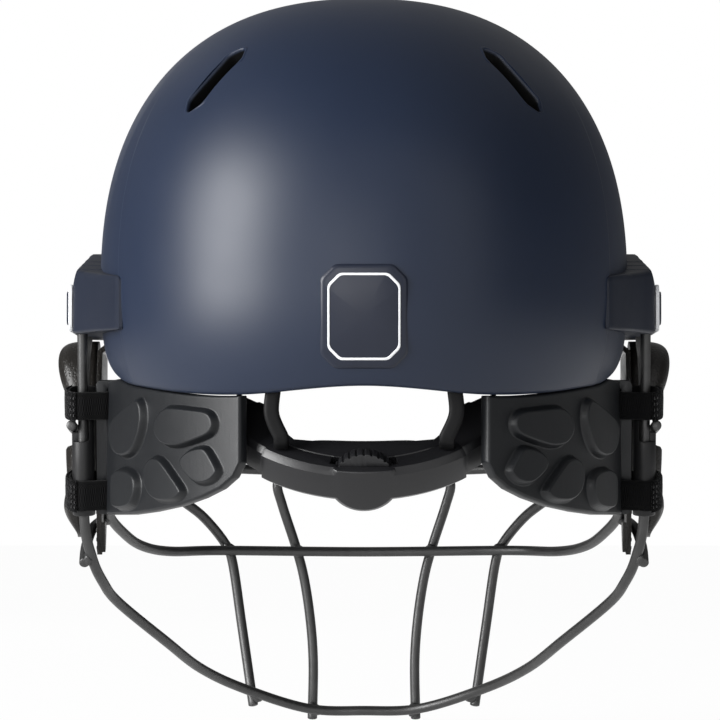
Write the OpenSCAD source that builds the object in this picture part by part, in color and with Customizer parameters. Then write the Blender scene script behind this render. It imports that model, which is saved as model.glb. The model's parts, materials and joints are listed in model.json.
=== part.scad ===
// Batting helmet: moulded shell with a peak, wire face guard, ear guards,
// swinging stem guards and a fit band that a dial tightens behind the head.
// Millimetres. +X is the wearer's left, +Y is the back, +Z is up, the face looks along -Y.
// The origin is the middle of the head opening.

/* [Shell] */
// Half width of the shell at its widest section
shell_half_w = 105; // [102:1:109]
// Reach of the shell behind the origin
shell_rear = 129; // [126:1:134]
// Reach of the shell in front of the origin
shell_front = 122; // [118:1:127]
// Height of the widest section above the origin
shell_mid_z = 27; // [25:1:29]
// Rise from the widest section to the crown
shell_rise = 116; // [112:1:122]
// Wall thickness of the shell
shell_wall = 3; // [2.4:0.2:3.6]
// How far the rear panel stands proud of the sides
rear_panel_step = 0.8; // [0.4:0.2:1.2]
// Reach of the peak past the shell's front
peak_reach = 48; // [40:1:56]
// Drop of the peak's front edge below its root
peak_drop = 13; // [8:1:18]
// Thickness of the peak
peak_t = 3; // [2.4:0.2:3.6]

/* [Vents] */
// Length of a vent slot
vent_len = 34; // [26:1:38]
// Width of a vent slot
vent_w = 10; // [7:1:12]

/* [Lining] */
// Thickness of the foam liner
liner_t = 15; // [13:1:17]
// Gap between the shell and the liner
liner_gap = 0.6; // [0.5:0.1:0.8]
// Thickness of the comfort pads at their crown
pad_t = 7; // [5:0.5:8]

/* [Grille] */
// Diameter of the grille wire
wire_d = 4.2; // [3.6:0.1:4.6]
// How far each rear post stands out from the side of the shell
post_off = 6.3; // [5.8:0.1:7]
// Reach of the grille in front of the origin
grille_reach = 153; // [148:1:160]
// Depth of the chin wire below the origin
chin_drop = 147; // [142:1:154]
// Length of the post sleeve
sleeve_len = 39; // [36:1:40]
// Wall of the post sleeve
sleeve_wall = 2.35; // [2.1:0.05:2.45]

/* [Pods] */
// How far the pods stand out from the shell's side
pod_out = 10.1; // [9.7:0.1:10.5]
// Height of the pod's underside
pod_bottom = 9.5; // [9:0.1:9.8]
// Height of the pod's ridge
pod_top = 43.5; // [40:0.5:45]
// Thickness of the pale trim plate on each pod
trim_t = 1.5; // [1:0.1:2]
// Thickness of the dark plate on each trim
side_plate_t = 1; // [0.8:0.1:1.6]
// Radius of the pod screws' shanks
screw_r = 2; // [1.5:0.1:2.2]

/* [Stem guards] */
// Radius of the outer face of a stem guard
guard_r = 142; // [141:0.5:144]
// Wall thickness of a stem guard
guard_wall = 5; // [3.6:0.2:5.4]
// Height that the raised blocks stand out
block_h = 3; // [2:0.25:4]
// Clearance between a stem guard and the rim above it
guard_gap = 0.6; // [0.5:0.1:1]
// Thickness of a strap
strap_t = 1.6; // [1.2:0.1:2]
// Width of the upper strap
upper_strap_w = 11; // [9:0.5:12]
// Width of the lower strap
lower_strap_w = 12; // [9:0.5:13]
// Outward swing of a stem guard, in degrees
guard_swing = 25; // [0:1:25]

/* [Ear guards] */
// Thickness of the padded lobes of an ear guard
ear_lobe_t = 16.4; // [14:0.2:17]
// Length of an ear guard from front to back
ear_len = 46; // [40:1:47]
// Thickness of the stitched flap inside an ear guard
flap_t = 2; // [1.6:0.1:2.2]

/* [Fit band] */
// Outer radius of the dial casing
casing_r = 60; // [59:0.5:61]
// Height of the dial casing
casing_h = 14.5; // [14:0.25:16]
// Half of the angle that the casing spans
casing_half_angle = 40; // [38:1:41]
// Tilt of the band, rear end down
band_tilt = 36; // [34:0.5:38]
// Radius of the dial
dial_r = 11.8; // [11.4:0.1:12]
// Number of grip ribs round the dial
dial_ribs = 26; // [18:1:30]
// Number of teeth on the dial's pinion
pinion_teeth = 12; // [10:1:12]
// Module of the pinion and its racks
tooth_module = 0.5; // [0.45:0.05:0.5]
// Thickness of each toothed band
band_t = 1.5; // [1.2:0.1:1.6]
// Turn of the dial that lets the arms out, in degrees
dial_turn = 150; // [60:10:160]
// Radius of the hanger struts
hanger_r = 3; // [2.4:0.1:3.2]

/* [Hidden] */
$fn = 48;

// Fits: a moving fit, a seat between two pieces, and the room round a soft piece
run_gap = 0.08;
seat_gap = 0.3;
wire_r = wire_d / 2;

// Shape of the shell: exponents of its plan and of its upright section
plan_power = 2.15;
side_power = 2.4;
skirt_depth = 89;
shell_az_steps = 60;
shell_rows = 13;

// Height of the rim at the nape, its dip beside the nape, then its rises to the corner, the
// ear and the brow
rim_rear_z = -13.8;
rim_nape_dip = 2.9;
rim_corner_rise = 6;
rim_ear_rise = 23;
rim_brow_rise = 7.7;

// Swing of the rear panel's edge round the shell, measured from the back
panel_edge = 57;

// Vents sit on the crown's shoulders, at this bearing from the side and this climb
vent_bearing = 55;
vent_climb = 39.5;

// The rear post leans back at its top and runs straight from the pod to below the straps
post_x = shell_half_w + post_off;
side_scale = post_x / 111.3;
post_top = [post_x, 21, 16];
post_low = [post_x, 7.5, -62.8];
post_axis = (post_top - post_low) / norm(post_top - post_low);
post_lean = atan2(post_axis.y, post_axis.z);
sleeve_top = 40;
upper_strap_top = 28.5;
lower_strap_top = 63.2;

// The band lies in its own tilted frame: origin on its axis, level with the casing's ledge
band_seat = [0, 68.5, -10.7];
casing_flat = 40;
dial_axis_drop = 6.4;
dial_front = 52;
dial_back = 56.2;
pitch_r = tooth_module * pinion_teeth / 2;
band_in_r = 47.5;
band_out_r = band_in_r + band_t + 0.3;
left_mid_r = band_in_r + band_t / 2;
right_mid_r = band_out_r + band_t / 2;
band_h = 10.9;
arm_end = 98;
arm_tail = 19;

function unit(v) = v / norm(v);
function flip(p) = [-p.x, p.y, p.z];
function smooth(t) = let (k = max(0, min(1, t))) k * k * (3 - 2 * k);
function bump(t) = let (k = max(0, 1 - t * t)) k * k;

// Bearing from the back, 0 to 180 degrees, of a direction given by its angle from +X
function from_back(az) = acos(sin(az));

// Radius of the plan at an angle from +X, less an inward offset
function plan_r(az, off) =
    let (reach = sin(az) >= 0 ? shell_rear : shell_front)
    pow(pow(abs(cos(az)) / (shell_half_w - off), plan_power)
        + pow(abs(sin(az)) / (reach - off), plan_power), -1 / plan_power);

// Radius of the upright section at a climb angle, for unit half axes
function side_r(climb) =
    pow(pow(abs(cos(climb)), side_power) + pow(abs(sin(climb)), side_power), -1 / side_power);

// Point of the shell's form at an angle from +X and a climb, less an inward offset
function form(az, climb, off) =
    let (r = plan_r(az, off) * side_r(climb) * cos(climb),
         h = climb >= 0 ? shell_rise - off : skirt_depth)
    [r * cos(az), r * sin(az), shell_mid_z + h * side_r(climb) * sin(climb)];

function rim_z(az) =
    let (b = from_back(az))
    rim_rear_z - rim_nape_dip * smooth(b / 24) + rim_corner_rise * smooth((b - 25) / 44)
    + rim_ear_rise * pow(max(0, min(1, (b - 58) / 32)), 2)
    + rim_brow_rise * smooth((b - 115) / 50);

// Climb at which the form reaches a height
function climb_at(z, off) =
    let (h = z >= shell_mid_z ? shell_rise - off : skirt_depth,
         q = min(1, abs(z - shell_mid_z) / h),
         c = atan2(q, pow(1 - pow(q, side_power), 1 / side_power)))
    z >= shell_mid_z ? c : -c;

// Closed skin between an outer and an inner grid of points, each rows x cols and open at
// its first row; wrap joins the last column to the first
module skin(outer, inner, wrap) {
    rows = len(outer);
    cols = len(outer[0]);
    n = rows * cols;
    last = wrap ? cols - 1 : cols - 2;
    points = concat([for (r = outer) each r], [for (r = inner) each r]);
    function next(c) = (c + 1) % cols;
    quads = [
        for (r = [0 : rows - 2], c = [0 : last])
            each let (a = r * cols + c, b = r * cols + next(c),
                      d = (r + 1) * cols + c, e = (r + 1) * cols + next(c))
            [[a, d, b], [b, d, e], [n + a, n + b, n + d], [n + b, n + e, n + d]]
    ];
    foot = [for (c = [0 : last]) each [[c, next(c), n + c], [next(c), n + next(c), n + c]]];
    head = let (o = (rows - 1) * cols)
        [for (c = [0 : last]) each [[o + c, n + o + c, o + next(c)],
            [o + next(c), n + o + c, n + o + next(c)]]];
    sides = wrap ? [] : [
        for (r = [0 : rows - 2])
            each let (a = r * cols, d = (r + 1) * cols, e = cols - 1)
            [[a, n + a, d], [d, n + a, n + d],
             [a + e, d + e, n + a + e], [d + e, n + d + e, n + a + e]]
    ];
    polyhedron(points, concat(quads, foot, head, sides));
}

// A dome is a wrapped skin whose two crowns are closed by one point each
module dome(outer, inner, outer_top, inner_top) {
    rows = len(outer);
    cols = len(outer[0]);
    n = rows * cols;
    points = concat([for (r = outer) each r], [for (r = inner) each r], [outer_top, inner_top]);
    function next(c) = (c + 1) % cols;
    quads = [
        for (r = [0 : rows - 2], c = [0 : cols - 1])
            each let (a = r * cols + c, b = r * cols + next(c),
                      d = (r + 1) * cols + c, e = (r + 1) * cols + next(c))
            [[a, d, b], [b, d, e], [n + a, n + b, n + d], [n + b, n + e, n + d]]
    ];
    foot = [for (c = [0 : cols - 1]) each [[c, next(c), n + c], [next(c), n + next(c), n + c]]];
    caps = let (o = (rows - 1) * cols)
        [for (c = [0 : cols - 1]) each [[o + c, 2 * n, o + next(c)],
            [n + o + c, n + o + next(c), 2 * n + 1]]];
    polyhedron(points, concat(quads, foot, caps));
}

// Rows of the form from a rim up towards the crown
function dome_rows(steps, rows, off, lift, proud) = [
    for (r = [0 : rows - 1]) [
        for (c = [0 : steps - 1])
            let (az = 360 * c / steps, low = climb_at(rim_z(az) + lift(az), off))
            form(az, low + (90 - low) * r / rows, off - proud(az))
    ]
];
function crown_point(off) = [0, 0, shell_mid_z + shell_rise - off];

// The rear panel stands proud behind a crease on each side, and fades out over the crown
function panel(az) = rear_panel_step * (1 - smooth((from_back(az) - panel_edge + 2) / 4));
function flush(az) = 0;

module vent_cuts(clear) {
    for (side = [0, 1], rear = [0, 1]) {
        az = rear ? vent_bearing : -vent_bearing;
        p = form(az, vent_climb, 0);
        reach = rear ? shell_rear : shell_front;
        n = unit([p.x / pow(shell_half_w, 2), p.y / pow(reach, 2),
                  (p.z - shell_mid_z) / pow(shell_rise, 2)]);
        lean = [-0.64, rear ? -0.2 : 0.2, 0.74];
        d = unit(lean - (lean * n) * n);
        w = cross(n, d);
        mirror([side, 0, 0])
            multmatrix([[d.x, w.x, n.x, p.x], [d.y, w.y, n.y, p.y], [d.z, w.z, n.z, p.z]])
            translate([0, 0, -30]) linear_extrude(50) vent_outline(clear);
    }
}
module vent_outline(clear) {
    l = vent_len / 2 + clear;
    w = vent_w / 2 + clear;
    polygon([[-l, -w * 0.2], [-l + w, -w], [l - w, -w], [l, -w * 0.2],
             [l, w * 0.3], [l - w, w], [-l + w, w], [-l, w * 0.3]]);
}

// Peak: a moulding of its own, bonded to the shell's outside above the brow; its front edge
// reaches out and down
peak_half_angle = 62;
peak_seat = 0.6;
function peak_row(v, under) = [
    for (i = [16 : -1 : 0])
        let (u = i / 8 - 1, az = -90 + peak_half_angle * u,
             root = form(az, climb_at(rim_z(az) + 5, -peak_seat), -peak_seat),
             out = 2.5 + peak_reach * pow(1 - u * u, 0.6),
             dir = unit([root.x * 0.55, root.y, 0]))
        root + dir * out * v - [0, 0, peak_drop * (out / (peak_reach + 2.5)) * pow(v, 1.3)]
        - [0, 0, under * peak_t]
];
module peak() {
    color("midnightblue")
        skin([for (k = [0 : 4]) peak_row(k / 4, 0)], [for (k = [0 : 4]) peak_row(k / 4, 1)], false);
}

// Screws that hold each pod to the shell: place from front to back, and height; the front
// one also clamps the ear flap's tab against the shell's inside
screw_seats = [[-26, 21], [16, 21]];
module pod_screw_places() {
    for (side = [0, 1], s = screw_seats)
        mirror([side, 0, 0])
            translate([shell_x(s[0]) - shell_wall, s[0], s[1]]) rotate([0, 90, 0]) children();
}
// Depth of a screw's head inside the shell: behind the tab at the front, on the wall behind
function head_depth(k) = k == 0 ? shell_x(screw_seats[0][0]) - shell_wall - tab_x + flap_t
    + 0.1 : 0.9;
// Half width of the shell's outside at a distance behind the origin, at its widest height
function shell_x(y) =
    let (reach = y >= 0 ? shell_rear : shell_front)
    shell_half_w * pow(1 - pow(abs(y) / reach, plan_power), 1 / plan_power);

module shell() {
    color("midnightblue") difference() {
        dome(dome_rows(shell_az_steps, shell_rows, 0, function(az) 0, function(az) panel(az)),
             dome_rows(shell_az_steps, shell_rows, shell_wall, function(az) 0, function(az) 0),
             crown_point(0), crown_point(shell_wall));
        vent_cuts(0);
        pod_screw_places() translate([0, 0, -1]) cylinder(r = screw_r + 0.2, h = shell_wall + 5);
    }
}

// The liner stops short of the rim, and higher over the ears
liner_off = shell_wall + liner_gap;
function liner_lift(az) = 13 + 13 * bump((from_back(az) - 84) / 40);
module foam_liner() {
    color("dimgray") difference() {
        dome(dome_rows(36, 8, liner_off, function(az) liner_lift(az), function(az) 0),
             dome_rows(36, 8, liner_off + liner_t, function(az) liner_lift(az), function(az) 0),
             crown_point(liner_off), crown_point(liner_off + liner_t));
        vent_cuts(1);
        for (side = [0, 1]) mirror([side, 0, 0]) hanger_socket();
    }
}

// Comfort pad on the liner: a crowned cushion whose sides draw in between its corners
pad_off = liner_off + liner_t + 1.6;
module comfort_pad(az, climb, half_az, half_climb) {
    nu = 10;
    nv = 7;
    function spot(i, j, depth) =
        let (u = 2 * i / nu - 1, v = 2 * j / nv - 1,
             a = az + half_az * u * (0.9 + 0.1 * v * v),
             c = climb + half_climb * v * (0.9 + 0.1 * u * u),
             swell = pow(max(0, (1 - pow(abs(u), 3)) * (1 - pow(abs(v), 3))), 0.5))
        form(a, c, pad_off + depth * (1.2 + (pad_t - 1.2) * swell));
    color("black")
        skin([for (j = [0 : nv]) [for (i = [0 : nu]) spot(i, j, 0)]],
             [for (j = [0 : nv]) [for (i = [0 : nu]) spot(i, j, 1)]], false);
}
module front_pad() { comfort_pad(-90, 22, 38, 12); }
module side_pad_left() { comfort_pad(-8, 30, 26, 10); }
module side_pad_right() { comfort_pad(188, 30, 26, 10); }
module rear_pad_left() { comfort_pad(66, 20, 18, 14); }
module rear_pad_right() { comfort_pad(114, 20, 18, 14); }

// Crown pad: a soft cap under the top of the liner
module crown_pad() {
    rows = 5;
    cols = 24;
    function at(r, c, depth) =
        let (k = r / rows, swell = pow(1 - pow(1 - k, 3), 0.5))
        form(360 * c / cols, 66 + 24 * k, pad_off + depth * (1.2 + (pad_t - 1.2) * swell));
    color("black")
        dome([for (r = [0 : rows - 1]) [for (c = [0 : cols - 1]) at(r, c, 0)]],
             [for (r = [0 : rows - 1]) [for (c = [0 : cols - 1]) at(r, c, 1)]],
             crown_point(pad_off), crown_point(pad_off + pad_t));
}

// Curve through a list of points, with a number of steps between each pair
function blend(a, b, c, d, t) =
    0.5 * (2 * b + (c - a) * t + (2 * a - 5 * b + 4 * c - d) * t * t
           + (3 * b - a - 3 * c + d) * t * t * t);
function curve(p, steps) = [
    for (i = [0 : len(p) - 2], k = [0 : steps - 1])
        blend(p[max(i - 1, 0)], p[i], p[i + 1], p[min(i + 2, len(p) - 1)], k / steps),
    p[len(p) - 1]
];

// Round bar along a route, with ends rounded over
module bar(route, r, sides = 8) {
    n = len(route);
    way = [for (i = [0 : n - 1])
        unit(route[min(i + 1, n - 1)] - route[max(i - 1, 0)])];
    start = unit(cross(way[0], abs(way[0].x) < 0.8 ? [1, 0, 0] : [0, 1, 0]));
    side = [for (i = 0, s = start; i < n; i = i + 1,
                 s = i < n ? unit(s - (s * way[i]) * way[i]) : s) s];
    function ring(c, t, s, rr) = [
        for (k = [0 : sides - 1])
            c + rr * (cos(360 * k / sides) * s + sin(360 * k / sides) * cross(t, s))
    ];
    rings = concat(
        [ring(route[0] - way[0] * r * 0.35, way[0], side[0], r * 0.6)],
        [for (i = [0 : n - 1]) ring(route[i], way[i], side[i], r)],
        [ring(route[n - 1] + way[n - 1] * r * 0.35, way[n - 1], side[n - 1], r * 0.6)]);
    m = len(rings);
    polyhedron([for (g = rings) each g], concat(
        [[for (k = [0 : sides - 1]) k]],
        [for (i = [0 : m - 2], k = [0 : sides - 1])
            each let (a = i * sides + k, b = i * sides + (k + 1) % sides)
            [[a, a + sides, b], [b, a + sides, b + sides]]],
        [[for (k = [sides - 1 : -1 : 0]) (m - 1) * sides + k]]));
}

// A grille point is drawn on a guard 111.3 wide, 153 deep and 147 low, and is stretched
// from there to the set width, reach and drop; posts stay straight where they are
function on_grille(p) = [
    p.x * side_scale,
    p.y > -20 ? p.y : -20 + (p.y + 20) * (grille_reach - 20) / 133,
    p.z > -62.8 ? p.z : -62.8 + (p.z + 62.8) * (chin_drop - 62.8) / 84.2
];
function both_sides(half) = concat(
    [for (p = half) on_grille(p)],
    [for (i = [len(half) - 2 : -1 : 0]) flip(on_grille(half[i]))]);

chin_route = [
    [108.6, 0, -79], [104.9, -12, -89], [99.6, -30, -97.6], [82, -65, -114.4],
    [68.8, -100, -126.9], [51.4, -130, -136.7], [24.3, -150, -146.1], [0, -153, -147.2]
];
mid_route = [
    [111, -5, 20], [111, -5, 9], [112, -7, 0], [111.6, -8, -14], [104.5, -9.5, -25],
    [103, -13, -32], [103.2, -20, -45], [103.5, -30, -55], [104.5, -45, -61.9],
    [100.5, -65, -68.7],
    [93.9, -90, -74.8], [83, -115, -77.6], [61, -140, -77.5], [0, -152, -78.2]
];
eye_route = [
    [115.6, 18, -26.5], [115.8, 0, -27.5], [115.2, -30, -29.5], [114.3, -48, -31.5],
    [110.6, -64, -34], [96, -92, -38],
    [74, -121, -41], [48, -140, -42.5], [20, -150, -43], [0, -152, -43]
];
// The vertical wires lie in front of the bars, one wire thickness out
centre_route = [
    [22.5, -156.5, -150.5], [22.1, -156, -126.5], [23.4, -155.8, -107.7], [26.2, -155.4, -89.3],
    [29.9, -154.4, -75.4], [35.5, -151.6, -58.1], [37.6, -149.7, -48.6], [33, -151.4, -43.6],
    [22, -153.9, -42.8], [0, -156.1, -42.8]
];
outer_route = [
    [47.8, -139.5, -144], [52.9, -144.6, -109.9], [57, -145.8, -82.7], [60.6, -143.4, -73.8],
    [69.4, -135, -62.9], [79.1, -123.5, -55], [86.4, -112, -48], [91.9, -103.8, -39.5]
];
stub_route = [
    [111.6, 1, -81], [111.6, -10, -74.5], [110.2, -28, -67.5], [107.3, -48, -64]
];

module wire(route) { color("slategray") bar(route, wire_r); }
module chin_wire() {
    half = concat([post_top, post_low], curve([post_low, for (p = chin_route) on_grille(p)], 2));
    clean = [for (i = [0 : len(half) - 1]) if (i != 2) half[i]];
    wire(concat(clean, [for (i = [len(clean) - 2 : -1 : 0]) flip(clean[i])]));
}
module mid_bar() { wire(curve(both_sides(mid_route), 2)); }
module eye_bar() { wire(curve(both_sides(eye_route), 2)); }
module centre_loop() { wire(curve(both_sides(centre_route), 2)); }
module outer_wire_left() { wire(curve([for (p = outer_route) on_grille(p)], 2)); }
module outer_wire_right() { mirror([1, 0, 0]) outer_wire_left(); }
module side_stub_left() { wire(curve([for (p = stub_route) on_grille(p)], 3)); }
module side_stub_right() { mirror([1, 0, 0]) side_stub_left(); }

// Children are placed in the leaning frame of the left rear post, z = 0 at its top
module on_post() {
    translate(post_top) rotate([-post_lean, 0, 0]) children();
}

// Slotted plastic sleeve over the post; its top is cut away outboard, round the eye bar's end
module post_sleeve_left() {
    color("black") on_post() difference() {
        translate([0, 0, -sleeve_top - sleeve_len])
            cylinder(r = wire_r + run_gap + sleeve_wall, h = sleeve_len);
        translate([0, 0, -sleeve_top - sleeve_len - 1])
            cylinder(r = wire_r + run_gap, h = sleeve_len + 2);
        translate([2, -8, -sleeve_top - 5.9]) cube([10, 16, 12]);
    }
}
module post_sleeve_right() { mirror([1, 0, 0]) post_sleeve_left(); }

// Pod: a moulded box on the shell's side that takes the grille's posts
pod_side_x = shell_half_w + pod_out;
pod_front_y = -34;
pod_rear_y = 25;
pod_toe = [shell_x(-46) - 0.5, -46];
pod_heel = [shell_x(64) - 0.5, 64];
ridge_half_w = pod_side_x - 4.7;
pod_rear_top = 33.5;
pod_side_top = 29.5;
module shell_prism(off, z0, z1) {
    translate([0, 0, z0]) linear_extrude(z1 - z0)
        polygon([for (i = [0 : 143])
            let (az = 2.5 * i) plan_r(az, -off - panel(az)) * [cos(az), sin(az)]]);
}
module pod_block() {
    intersection() {
        translate([0, 0, pod_bottom]) linear_extrude(pod_top - pod_bottom)
            polygon([[80, pod_heel.y], pod_heel, [pod_side_x - 2.2, pod_rear_y + 4.5],
                     [pod_side_x, pod_rear_y], [pod_side_x, pod_front_y],
                     [pod_side_x - 3, pod_front_y - 6], pod_toe, [80, pod_toe.y]]);
        translate([0, 70, 0]) rotate([90, 0, 0]) linear_extrude(130)
            polygon([[80, pod_bottom], [pod_side_x - 1, pod_bottom], [pod_side_x, pod_bottom + 1],
                     [pod_side_x, pod_side_top], [ridge_half_w, pod_top], [80, pod_top]]);
        rotate([90, 0, 90]) linear_extrude(pod_side_x)
            polygon([[-60, pod_bottom], [66, pod_bottom], [66, pod_rear_top - 3.6],
                     [33, pod_rear_top], [-18, pod_top], [-60, pod_top - 4]]);
    }
}
module pod_left() {
    color("darkslateblue") difference() {
        pod_block();
        shell_prism(seat_gap, pod_bottom - 1, pod_top + 1);
        on_post() translate([0, 0, -20]) cylinder(r = wire_r + run_gap, h = 24);
        translate([mid_route[0].x * side_scale, mid_route[0].y, pod_bottom - 1])
            cylinder(r = wire_r + 0.5, h = 16);
        for (y = [4, 15, 26])
            translate([pod_side_x - 13, y, slot_height(y)]) cube([16, 1.8, 6]);
        pod_screw_places() cylinder(r = screw_r, h = shell_wall + 9);
    }
}
// Floor of a louvre slot in the pod's sloping top
function slot_height(y) = pod_top - (y + 18) * (pod_top - pod_rear_top) / 51 - 1.3;
module pod_right() { mirror([1, 0, 0]) pod_left(); }

// Plate with rounded corners, standing on edge against the pod's outer face
module upright_plate(x, t, y0, y1, z0, z1, r) {
    translate([x, 0, 0]) rotate([90, 0, 90]) linear_extrude(t) {
        translate([y0 + r, z0]) square([y1 - y0 - 2 * r, z1 - z0]);
        translate([y0, z0 + r]) square([y1 - y0, z1 - z0 - 2 * r]);
        for (y = [y0 + r, y1 - r], z = [z0 + r, z1 - r]) translate([y, z]) circle(r);
    }
}
module pod_trim_left() {
    color("white") upright_plate(pod_side_x, trim_t, pod_front_y + 2, pod_rear_y - 1,
                                 pod_bottom + 1.2, pod_side_top - 0.4, 4);
}
module pod_trim_right() { mirror([1, 0, 0]) pod_trim_left(); }
module side_plate_left() {
    color("midnightblue") upright_plate(pod_side_x + trim_t, side_plate_t, pod_front_y + 6,
                                        pod_rear_y - 5, pod_bottom + 3.8, pod_side_top - 3, 3);
}
module side_plate_right() { mirror([1, 0, 0]) side_plate_left(); }

// Pan-head screws from inside the shell; the heads lie in the gap that the liner leaves
head_h = 1.6;
module pod_screws() {
    color("silver") for (side = [0, 1], k = [0, 1])
        mirror([side, 0, 0])
            translate([shell_x(screw_seats[k][0]) - shell_wall, screw_seats[k][0],
                       screw_seats[k][1]])
            rotate([0, 90, 0]) translate([0, 0, -head_depth(k)]) difference() {
                union() {
                    translate([0, 0, -head_h]) cylinder(r = screw_r * 1.9, h = head_h);
                    translate([0, 0, -0.2])
                        cylinder(r = screw_r - 0.05, h = head_depth(k) + shell_wall + 8);
                }
                translate([0, 0, -head_h - 0.2]) cylinder(r = screw_r * 0.6, h = 1.1, $fn = 6);
            }
}

// Stem guard: a moulded wall on an arc behind the ear, cut to its outline, with five raised
// blocks and a flange that the straps go through
guard_centre = [post_x - 7.9 - guard_r, -7];
guard_outline = [
    [46, -38.6], [46.6, -41.9], [49.6, -47.9], [54.7, -52.1], [61.7, -55.4], [70.7, -58.4],
    [81.7, -60.6], [91.3, -61.8], [104, -61.9]
];
flange_gap = 0.8;
flange_t = 2.6;
flange_end = post_x - wire_r - sleeve_wall - flange_gap;
guard_blocks = [
    [23.6, -28.1, [[17, 10.2], [12.9, 12.2], [0, 8.1], [-12.7, 4.7], [-18.8, 1.2],
                   [-18.3, -3.3], [-14.9, -8.1], [-8.7, -11], [0, -12.2], [8.1, -10.9],
                   [13.3, -7.6], [17, -2.7], [18.7, 2.2], [18.7, 6]]],
    [41.6, -28.4, [[-17.1, 4.5], [-19.2, 0.2], [-17.1, -4.2], [-12.1, -7.6], [-3.8, -8.5],
                   [3.9, -7.2], [13.4, -4.9], [17.2, -3], [19, 0.7], [17.2, 4.8],
                   [13.8, 6.7], [6.4, 7.4], [-6.5, 8.6], [-12.1, 8]]],
    [45.4, -43.2, [[-11.4, 0.1], [-8.8, -3.2], [-3, -7], [1.7, -7.9], [7, -6.8],
                   [10.7, -3.9], [11.4, -1.4], [7.8, 3.7], [4.8, 7.2], [0.9, 7.9],
                   [-6.3, 6.5], [-11, 3.6]]],
    [36.6, -48.1, [[-12.9, 6.2], [-14.1, 1.9], [-12.9, -3.1], [-9, -7.2], [-2.7, -9.4],
                   [7.7, -9.2], [12.5, -7], [14.2, -4.3], [7.7, 1.7], [0.3, 8],
                   [-4.7, 9.3], [-9, 8.7]]],
    [23.2, -51.8, [[-8.7, 8.1], [-13.9, 5.8], [-14.9, -2], [-12.6, -7.6], [-4, -8.8],
                   [8.4, -7.9], [13, -4.3], [14.9, 1.2], [13, 5.6], [7, 8.1],
                   [-2.3, 8.8]]]
];
function guard_top(x) =
    let (y = guard_centre.y + sqrt(pow(guard_r, 2) - pow(x * side_scale - guard_centre.x, 2)))
    rim_z(90 - atan(x * side_scale / y)) - guard_gap;
module stem_guard_left() {
    color("dimgray") difference() {
        union() {
            intersection() {
                translate([guard_centre.x, guard_centre.y, -70])
                    rotate_extrude(angle = 60) translate([guard_r - guard_wall, 0])
                    square([guard_wall, 70]);
                on_post() translate([-70, -flange_t / 2, -90]) cube([80, 120, 90]);
                translate([0, 140, 0]) rotate([90, 0, 0]) linear_extrude(150)
                    polygon([for (p = concat([for (x = [46 : 9 : 91]) [x, guard_top(x)]],
                                             [[96, guard_top(96)],
                                              [104, guard_top(96) - 0.3]],
                                             [for (i = [len(guard_outline) - 1 : -1 : 0])
                                                 guard_outline[i]])) [p.x * side_scale, p.y]]);
            }
            for (b = guard_blocks) guard_block(b[0], b[1], b[2]);
            flange();
        }
        strap_slots();
        translate([post_x - 8.8, 50, -11.3]) rotate([90, 0, 0]) cylinder(r = 1, h = 60);
    }
}
module guard_block(bearing, z, outline) {
    translate([guard_centre.x, guard_centre.y, z]) rotate([0, 0, bearing])
        translate([guard_r - 1.2, 0, 0]) rotate([90, 0, 90])
        linear_extrude(block_h + 1.2, scale = 0.86) offset(r = 3, $fn = 24) offset(r = -3)
        polygon(outline);
}
// The flange is a thin tab from the wall's front edge out to the post
module flange() {
    on_post() translate([-14, -flange_t / 2, -78.5])
        cube([14 - (post_x - flange_end), flange_t, 53.5]);
}
module strap_slots() {
    for (s = [[upper_strap_top, upper_strap_w], [lower_strap_top, lower_strap_w]])
        on_post() translate([-strap_span - strap_end_r - strap_t - seat_gap, -8,
                             -s[0] - s[1] - seat_gap]) {
            cube([strap_t + 2 * seat_gap + 0.4, 16, s[1] + 2 * seat_gap]);
            translate([0, 8 + flange_t / 2, 0]) cube([9, 8, s[1] + 2 * seat_gap]);
        }
}
module stem_guard_right() { mirror([1, 0, 0]) stem_guard_left(); }

// Strap: a closed loop round the post and sleeve, through its slot in the flange
strap_loop_r = wire_r + run_gap + sleeve_wall + 0.25;
strap_end_r = strap_loop_r - 1.6;
strap_span = 7.8;
module strap(top, width) {
    color("black") on_post() translate([0, 0, -top - width]) linear_extrude(width)
        difference() {
            strap_outline(strap_t);
            strap_outline(0);
        }
}
module strap_outline(grow) {
    circle(strap_loop_r + grow);
    translate([-strap_span, 0]) circle(strap_end_r + grow);
    polygon([[0, strap_loop_r + grow], [-strap_span, strap_end_r + grow],
             [-strap_span, -strap_end_r - grow], [0, -strap_loop_r - grow]]);
}
module upper_strap_left() { strap(upper_strap_top, upper_strap_w); }
module upper_strap_right() { mirror([1, 0, 0]) upper_strap_left(); }
module lower_strap_left() { strap(lower_strap_top, lower_strap_w); }
module lower_strap_right() { mirror([1, 0, 0]) lower_strap_left(); }

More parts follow.
